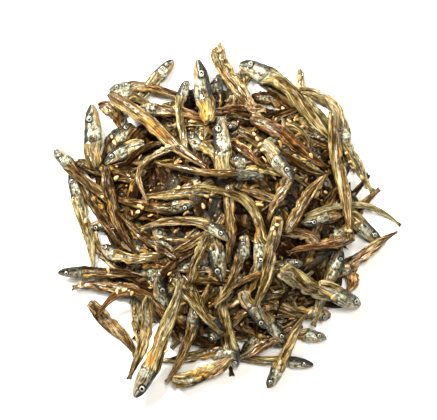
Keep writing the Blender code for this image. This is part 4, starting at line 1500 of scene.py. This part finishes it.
def product(tree, *factors):
    """All the factors multiplied."""
    result = factors[0]
    for factor in factors[1:]:
        result = math_node(tree, "MULTIPLY", result, factor)
    return result


def total(tree, *terms):
    """All the terms added."""
    result = terms[0]
    for term in terms[1:]:
        result = math_node(tree, "ADD", result, term)
    return result


def largest(tree, *values):
    """The largest of the values."""
    result = values[0]
    for value in values[1:]:
        result = math_node(tree, "MAXIMUM", result, value)
    return result


def centred(tree, value, gain):
    """A noise value about 0, times a gain."""
    return math_node(tree, "MULTIPLY", math_node(tree, "SUBTRACT", value, 0.5), gain)


print("functions for masks are ready")

# %% [markdown]
# The skin does most of the work. Its colour runs in streaks along the fish, so the pattern is not drawn in
# space but on the fish itself: the attributes say how far round and how far along each point is. Furrows
# are painted darker and ridges lighter, as shade and light that follow the relief; the belly lets amber
# shine through, and each fish has its own shade.

# %% Skin of the body
# the darkest skin, also used as painted shade in the furrows and creases
DARK_SKIN_AND_GROOVE_SHADE = (0.012, 0.0045, 0.0008)
BROWN_SKIN = (0.068, 0.0350, 0.0060)
OLIVE_SKIN = (0.128, 0.086, 0.0280)
TAN_SKIN = (0.255, 0.203, 0.118)
# the palest skin, reached on the ridges, where the relief paints light onto it
CREAM_SKIN_AND_RIDGE_LIGHT = (0.485, 0.425, 0.305)
BELLY_AMBER = (0.31, 0.130, 0.016)
BELLY_GOLD = (0.47, 0.290, 0.055)
MIDDLE_TINT = (0.92, 0.82, 0.78)    # multiplies the colour along the middle of the flank
EDGE_TINT = (1.06, 1.06, 0.95)      # and along the back and the belly
TINTS = (                           # multiply the colour, from a green fish to a red one
    (0.0, (0.95, 1.01, 0.80)),
    (0.4, (1.0, 0.96, 0.85)),
    (0.7, (1.0, 0.87, 0.75)),
    (1.0, (1.0, 0.68, 0.52)),
)
# the tone holds painted shade in the furrows and painted light on the ridges
BODY_RAMP = (                       # by the tone
    (0.05, DARK_SKIN_AND_GROOVE_SHADE),
    (0.30, BROWN_SKIN),
    (0.52, OLIVE_SKIN),
    (0.74, TAN_SKIN),
    (0.98, CREAM_SKIN_AND_RIDGE_LIGHT),
)


def read_skin(tree):
    """Where on its fish a point is, how the fish is dressed, and the noises that run along it."""
    around = attribute(tree, "around", "Vector")
    luck = attribute(tree, "luck")
    up, _, along = separated(tree, around)
    shade, warmth, silver_reach = separated(tree, attribute(tree, "dress", "Vector"))

    def own(stretch, detail, rough):
        """A noise of this fish's own, stretched up, out and along."""
        return use_group(tree, own_mottle, Place=around, Luck=luck, Stretch=stretch, Detail=detail,
                         Roughness=rough)

    return SimpleNamespace(
        up=up, along=along, shade=shade, warmth=warmth, silver_reach=silver_reach,
        furrow=attribute(tree, "furrow"), belly=attribute(tree, "belly"), ridged=attribute(tree, "ridged"),
        streak=own((1.6, 1.6, 3.0), 5.0, 0.72), fine=own((8.0, 8.0, 8.0), 4.0, 0.65),
        blotch=own((1.2, 1.2, 11.0), 3.0, 0.55), freckle=own((2.2, 2.2, 24.0), 4.0, 0.65),
        wash=own((0.9, 0.9, 2.2), 2.0, 0.5), fold=own((2.0, 2.0, 2.6), 3.0, 0.5))


def crease_shade_lines(tree, skin):
    """Thin lines of painted shade where the drying skin folded."""
    first_fold = line_mask(tree, skin.fold, 0.44, 0.020)
    second_fold = line_mask(tree, skin.fold, 0.56, 0.018)
    return largest(tree, first_fold, second_fold)


def body_tone(tree, skin):
    """How light the body is, from 0 in a furrow of a dark fish to 1 on a ridge of a pale one, with painted
    shade and light.
    """
    mottled = total(tree, centred(tree, skin.streak, 2.9), centred(tree, skin.fine, 2.4),
                    centred(tree, skin.blotch, 0.9))
    # painted shade in the furrows and painted light on the ridges, and the fish's own darker back
    relief_shade_and_dark_back = total(tree, product(tree, skin.furrow, 0.50), product(tree, skin.up, -0.10))
    return total(tree, mottled, relief_shade_and_dark_back, product(tree, skin.shade, 0.78), 0.17)


def shining_belly(tree, skin):
    """1 where the belly shines through: behind the gills, on the low side, in fine specks."""
    behind_gills = smooth_step(tree, skin.along, 0.25, 0.31)
    before_vent = smooth_step(tree, skin.along, 0.46, 0.62, invert=True)
    low_side = total(tree, skin.up, centred(tree, skin.streak, 2.2), product(tree, skin.belly, -0.5))
    full = math_node(tree, "MULTIPLY_ADD", skin.belly, 0.14, skin.blotch)
    return product(tree, behind_gills, before_vent,
                   smooth_step(tree, low_side, -0.55, -0.10, invert=True),
                   smooth_step(tree, full, 0.52, 0.64),
                   smooth_step(tree, skin.fine, 0.36, 0.50), 0.9)


def body_colours(tree, skin, tone, crease_shade):
    """Brown to cream by the tone, tinted by the fish's warmth, with dark folds and an amber belly."""
    colour = colour_ramp(tree, tone, BODY_RAMP)
    warm = total(tree, skin.warmth, centred(tree, skin.blotch, 0.8), centred(tree, skin.wash, 1.7), -0.12)
    colour = mix_colour(tree, 1.0, colour, colour_ramp(tree, warm, TINTS), "MULTIPLY")
    from_middle = math_node(tree, "ABSOLUTE", total(tree, skin.up, centred(tree, skin.wash, 1.4)))
    across = mix_colour(tree, smooth_step(tree, from_middle, 0.25, 0.70), MIDDLE_TINT, EDGE_TINT)
    colour = mix_colour(tree, 1.0, colour, across, "MULTIPLY")
    # painted shade in the creases
    colour = mix_colour(tree, product(tree, crease_shade, 0.85), colour, DARK_SKIN_AND_GROOVE_SHADE)
    golden = smooth_step(tree, total(tree, skin.wash, centred(tree, skin.fine, 0.5)), 0.38, 0.54)
    amber = mix_colour(tree, golden, BELLY_AMBER, BELLY_GOLD)
    return mix_colour(tree, shining_belly(tree, skin), colour, amber)


print("colours of the body, from furrow to ridge:", len(BODY_RAMP))

# %% [markdown]
# On the head the skin turns silver, with a blue-black crown, dark freckles and a tan jaw. Thin lines of
# painted shade mark the grooves of the gill cover, the cheek, the mouth and the eye. The silver ends in
# rags and runs on along the flank of fresher fish. Over it all lies the glaze, which is wettest on the
# ridges of the upper fish.

# %% Skin of the head, and the glaze
# the darkest head tone, also used as painted shade in the grooves
HEAD_SHADOW = (0.026, 0.022, 0.013)
GILL_GOLD = (0.18, 0.130, 0.058)
SILVER = (0.205, 0.220, 0.160)
WHITE_SILVER = (0.49, 0.52, 0.42)
BLUE_BLACK = (0.009, 0.011, 0.014)
JAW_TAN = (0.26, 0.15, 0.055)
HEAD_RAMP = (                       # by the tone
    (0.28, HEAD_SHADOW),
    (0.42, GILL_GOLD),
    (0.54, SILVER),
    (0.78, WHITE_SILVER),
)
GLAZE_AMBER = (1.0, 0.91, 0.74)
CLEAR_GLAZE = (1.0, 1.0, 1.0)
COAT_ROUGHNESS = 0.12
SPECULAR_LEVEL = 0.06


def head_groove_shade(tree, skin):
    """Painted shade in the grooves at the edges of gill cover and cheek, along the mouth, and round the eye.
    """
    up_squared = product(tree, skin.up, skin.up)
    gill_edge = math_node(tree, "MULTIPLY_ADD", up_squared, -0.030, HEAD_END + 0.010)
    gill = product(tree, line_mask(tree, skin.along, gill_edge, 0.008),
                   smooth_step(tree, skin.fine, 0.44, 0.60))
    cheek_edge = math_node(tree, "MULTIPLY_ADD", up_squared, -0.045, 0.178)
    cheek = product(tree, line_mask(tree, skin.along, cheek_edge, 0.006),
                    smooth_step(tree, skin.fine, 0.48, 0.64))
    mouth_level = math_node(tree, "MULTIPLY_ADD", skin.along, 1.6, -0.36)
    mouth = product(tree, line_mask(tree, skin.up, mouth_level, 0.11),
                    smooth_step(tree, skin.along, 0.075, 0.09, invert=True))
    eye_along = product(tree, math_node(tree, "SUBTRACT", skin.along, EYE_PLACE[0]), SLENDERNESS)
    eye_up = math_node(tree, "MULTIPLY_ADD", skin.up, 0.85, -0.85 * EYE_PLACE[1])
    from_eye = math_node(tree, "SQRT", total(tree, product(tree, eye_along, eye_along),
                                             product(tree, eye_up, eye_up)))
    eye_ring = line_mask(tree, from_eye, 1.12 * EYE_RADIUS, 0.34 * EYE_RADIUS)
    return largest(tree, gill, cheek, mouth, eye_ring)


def head_colours(tree, skin, groove_shade):
    """Silver with freckles, a tan jaw, a blue-black crown, and painted shade in the grooves."""
    # painted shade: the heads of fish dressed below 0 are darkened
    in_deep_shade = smooth_step(tree, skin.shade, -0.15, -0.05, invert=True)
    # the furrow term paints shade into the head's furrows and light onto its ridges
    tone = total(tree, 0.50, centred(tree, skin.freckle, 2.1), centred(tree, skin.fine, 1.2),
                 product(tree, skin.furrow, 0.20), centred(tree, skin.shade, 0.18),
                 product(tree, in_deep_shade, -0.26))
    colour = colour_ramp(tree, tone, HEAD_RAMP)
    low_level = total(tree, skin.up, centred(tree, skin.freckle, 1.5))
    jaw = product(tree, smooth_step(tree, low_level, -0.7, -0.2, invert=True),
                  smooth_step(tree, skin.along, 0.10, 0.20, invert=True), 0.75)
    colour = mix_colour(tree, jaw, colour, JAW_TAN)
    snout = smooth_step(tree, skin.along, 0.02, 0.10, invert=True)
    dark_level = total(tree, skin.up, centred(tree, skin.freckle, 2.0), product(tree, snout, 0.35))
    is_silvery = smooth_step(tree, skin.silver_reach, 0.0, 0.25)
    crown = product(tree, smooth_step(tree, dark_level, 0.28, 0.66),
                    math_node(tree, "MULTIPLY_ADD", is_silvery, 0.5, 0.45))
    colour = mix_colour(tree, crown, colour, BLUE_BLACK)
    # painted shade along the grooves of the gill cover, the cheek, the mouth and the eye
    return mix_colour(tree, product(tree, groove_shade, 0.9), colour, HEAD_SHADOW)


def silver_share(tree, skin):
    """1 on the head, which ends in rags, and in scraps of silver skin left along the flank."""
    head = total(tree, math_node(tree, "SUBTRACT", 1.0, skin.ridged), centred(tree, skin.streak, 1.9),
                 centred(tree, skin.fine, 0.7))
    reached = math_node(tree, "MULTIPLY_ADD", skin.silver_reach, -0.65, skin.along)
    level = total(tree, math_node(tree, "ABSOLUTE", skin.up), centred(tree, skin.fine, 1.0))
    flank = product(tree, smooth_step(tree, reached, 0.20, 0.42, invert=True),
                    smooth_step(tree, level, 0.30, 0.52, invert=True),
                    smooth_step(tree, skin.streak, 0.45, 0.56), 0.85)
    return largest(tree, smooth_step(tree, head, 0.34, 0.60), flank)


def paint_fish_skin(material):
    """Streaked body, silver head, dark crown, glaze."""
    tree, shader = shader_nodes(material)
    skin = read_skin(tree)
    crease_shade = crease_shade_lines(tree, skin)
    groove_shade = head_groove_shade(tree, skin)
    tone = body_tone(tree, skin)
    silver = silver_share(tree, skin)
    body = body_colours(tree, skin, tone, crease_shade)
    colour = mix_colour(tree, silver, body, head_colours(tree, skin, groove_shade))
    in_patches = smooth_step(tree, skin.blotch, 0.35, 0.65)
    on_ridges = smooth_step(tree, tone, 0.05, 0.45)
    on_upper_fish = smooth_step(tree, skin.shade, 0.0, 0.3)
    wet = product(tree, math_node(tree, "MULTIPLY_ADD", in_patches, 0.6, 0.1),
                  math_node(tree, "MULTIPLY_ADD", on_ridges, 0.7, 0.3),
                  math_node(tree, "MULTIPLY_ADD", on_upper_fish, 0.8, 0.2))
    height = total(tree, skin.fine, product(tree, skin.streak, 0.8), product(tree, groove_shade, -0.4),
                   product(tree, crease_shade, -0.5))
    link_all(tree, [
        (colour, shader.inputs["Base Color"]),
        (product(tree, silver, 0.30), shader.inputs["Metallic"]),
        (math_node(tree, "MULTIPLY_ADD", skin.fine, -0.5, 0.62), shader.inputs["Roughness"]),
        (wet, shader.inputs["Coat Weight"]),
        (mix_colour(tree, silver, GLAZE_AMBER, CLEAR_GLAZE), shader.inputs["Coat Tint"]),
        (use_group(tree, fine_relief, Height=height, Grain=0.6, Depth=0.7 * MM), shader.inputs["Normal"]),
    ])
    shader.inputs["Coat Roughness"].default_value = COAT_ROUGHNESS
    shader.inputs["Specular IOR Level"].default_value = SPECULAR_LEVEL


paint_fish_skin(fish_skin)
print("fish skin:", len(fish_skin.node_tree.nodes), "nodes")

# %% [markdown]
# The other materials are simple. A dried eye is a black pupil in a pale ring under clear skin, a roasted
# seed is gold to brown, scraps are what rubbed off the fish, and the core, never seen but dimly, is nearly
# black as painted shade in the gaps.

# %% Eyes, seeds, scraps and core
EYE_COLOURS = (                     # from the pupil's middle outwards
    (0.0, (0.006, 0.006, 0.007)),
    (0.42, (0.008, 0.008, 0.008)),
    (0.50, (0.22, 0.22, 0.16)),
    (0.70, (0.28, 0.28, 0.21)),
    (0.80, (0.012, 0.010, 0.008)),
)
SEED_COLOURS = (
    (0.0, (0.22, 0.115, 0.034)),
    (0.4, (0.38, 0.235, 0.090)),
    (1.0, (0.52, 0.38, 0.195)),
)
SCRAP_COLOURS = (
    (0.0, (0.012, 0.005, 0.0012)),
    (0.45, (0.045, 0.019, 0.005)),
    (0.72, (0.120, 0.058, 0.013)),
    (0.95, (0.42, 0.240, 0.060)),
)
# painted shade: the core stands for the dark depth between the fish
CORE_SHADE_COLOURS = (
    (0.35, (0.010, 0.004, 0.001)),
    (0.65, (0.060, 0.024, 0.006)),
)


def set_gloss(shader, roughness, coat, coat_roughness):
    """Sets how smooth the surface and its coat of glaze are."""
    shader.inputs["Roughness"].default_value = roughness
    shader.inputs["Coat Weight"].default_value = coat
    shader.inputs["Coat Roughness"].default_value = coat_roughness


def paint_eye(material):
    """A black pupil in a pale ring, under a clear dried skin."""
    tree, shader = shader_nodes(material)
    ring = colour_ramp(tree, attribute(tree, "from_pupil"), EYE_COLOURS)
    tree.links.new(ring, shader.inputs["Base Color"])
    set_gloss(shader, 0.18, 0.8, 0.05)


def paint_grains(material, stops, gain, depth):
    """A colour of its own for each grain, mottled, with a fine relief."""
    tree, shader = shader_nodes(material)
    place = add_node(tree, "ShaderNodeTexCoord").outputs["Object"]
    luck = attribute(tree, "luck")
    mottle = use_group(tree, own_mottle, Place=place, Luck=luck, Stretch=(900.0, 900.0, 900.0), Detail=4.0)
    colour = colour_ramp(tree, total(tree, luck, centred(tree, mottle, gain)), stops)
    link_all(tree, [
        (colour, shader.inputs["Base Color"]),
        (use_group(tree, fine_relief, Height=mottle, Grain=0.2, Depth=depth), shader.inputs["Normal"]),
    ])
    return shader


def paint_core(material):
    """Nearly black, as painted shade at the bottom of the gaps, with a sticky gloss."""
    tree, shader = shader_nodes(material)
    place = add_node(tree, "ShaderNodeTexCoord").outputs["Object"]
    core_mottle = use_group(tree, own_mottle, Place=place, Stretch=(420.0, 420.0, 420.0), Detail=4.0)
    link_all(tree, [
        (colour_ramp(tree, core_mottle, CORE_SHADE_COLOURS), shader.inputs["Base Color"]),
        (use_group(tree, fine_relief, Height=core_mottle, Depth=1.0 * MM), shader.inputs["Normal"]),
    ])
    set_gloss(shader, 0.5, 0.2, 0.2)


paint_eye(eye_gel)
set_gloss(paint_grains(seed_hull, SEED_COLOURS, 0.5, 0.15 * MM), 0.35, 0.4, 0.15)
set_gloss(paint_grains(scraps, SCRAP_COLOURS, 0.7, 0.5 * MM), 0.45, 0.4, 0.12)
paint_core(core_shade_paint)
print("materials:", [item.name for item in bpy.data.materials if item.users])

# %% [markdown]
# Last, every piece is handed over: it rides with the heap's one body and stands for its one solid.

# %% Hand over
for piece in fish_pieces + eye_pieces + under_pieces + [core, seeds, flakes, crumbs]:
    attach(piece, "root")
    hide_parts(HEAP_NODE)
for master in masters:
    bpy.data.objects.remove(master)
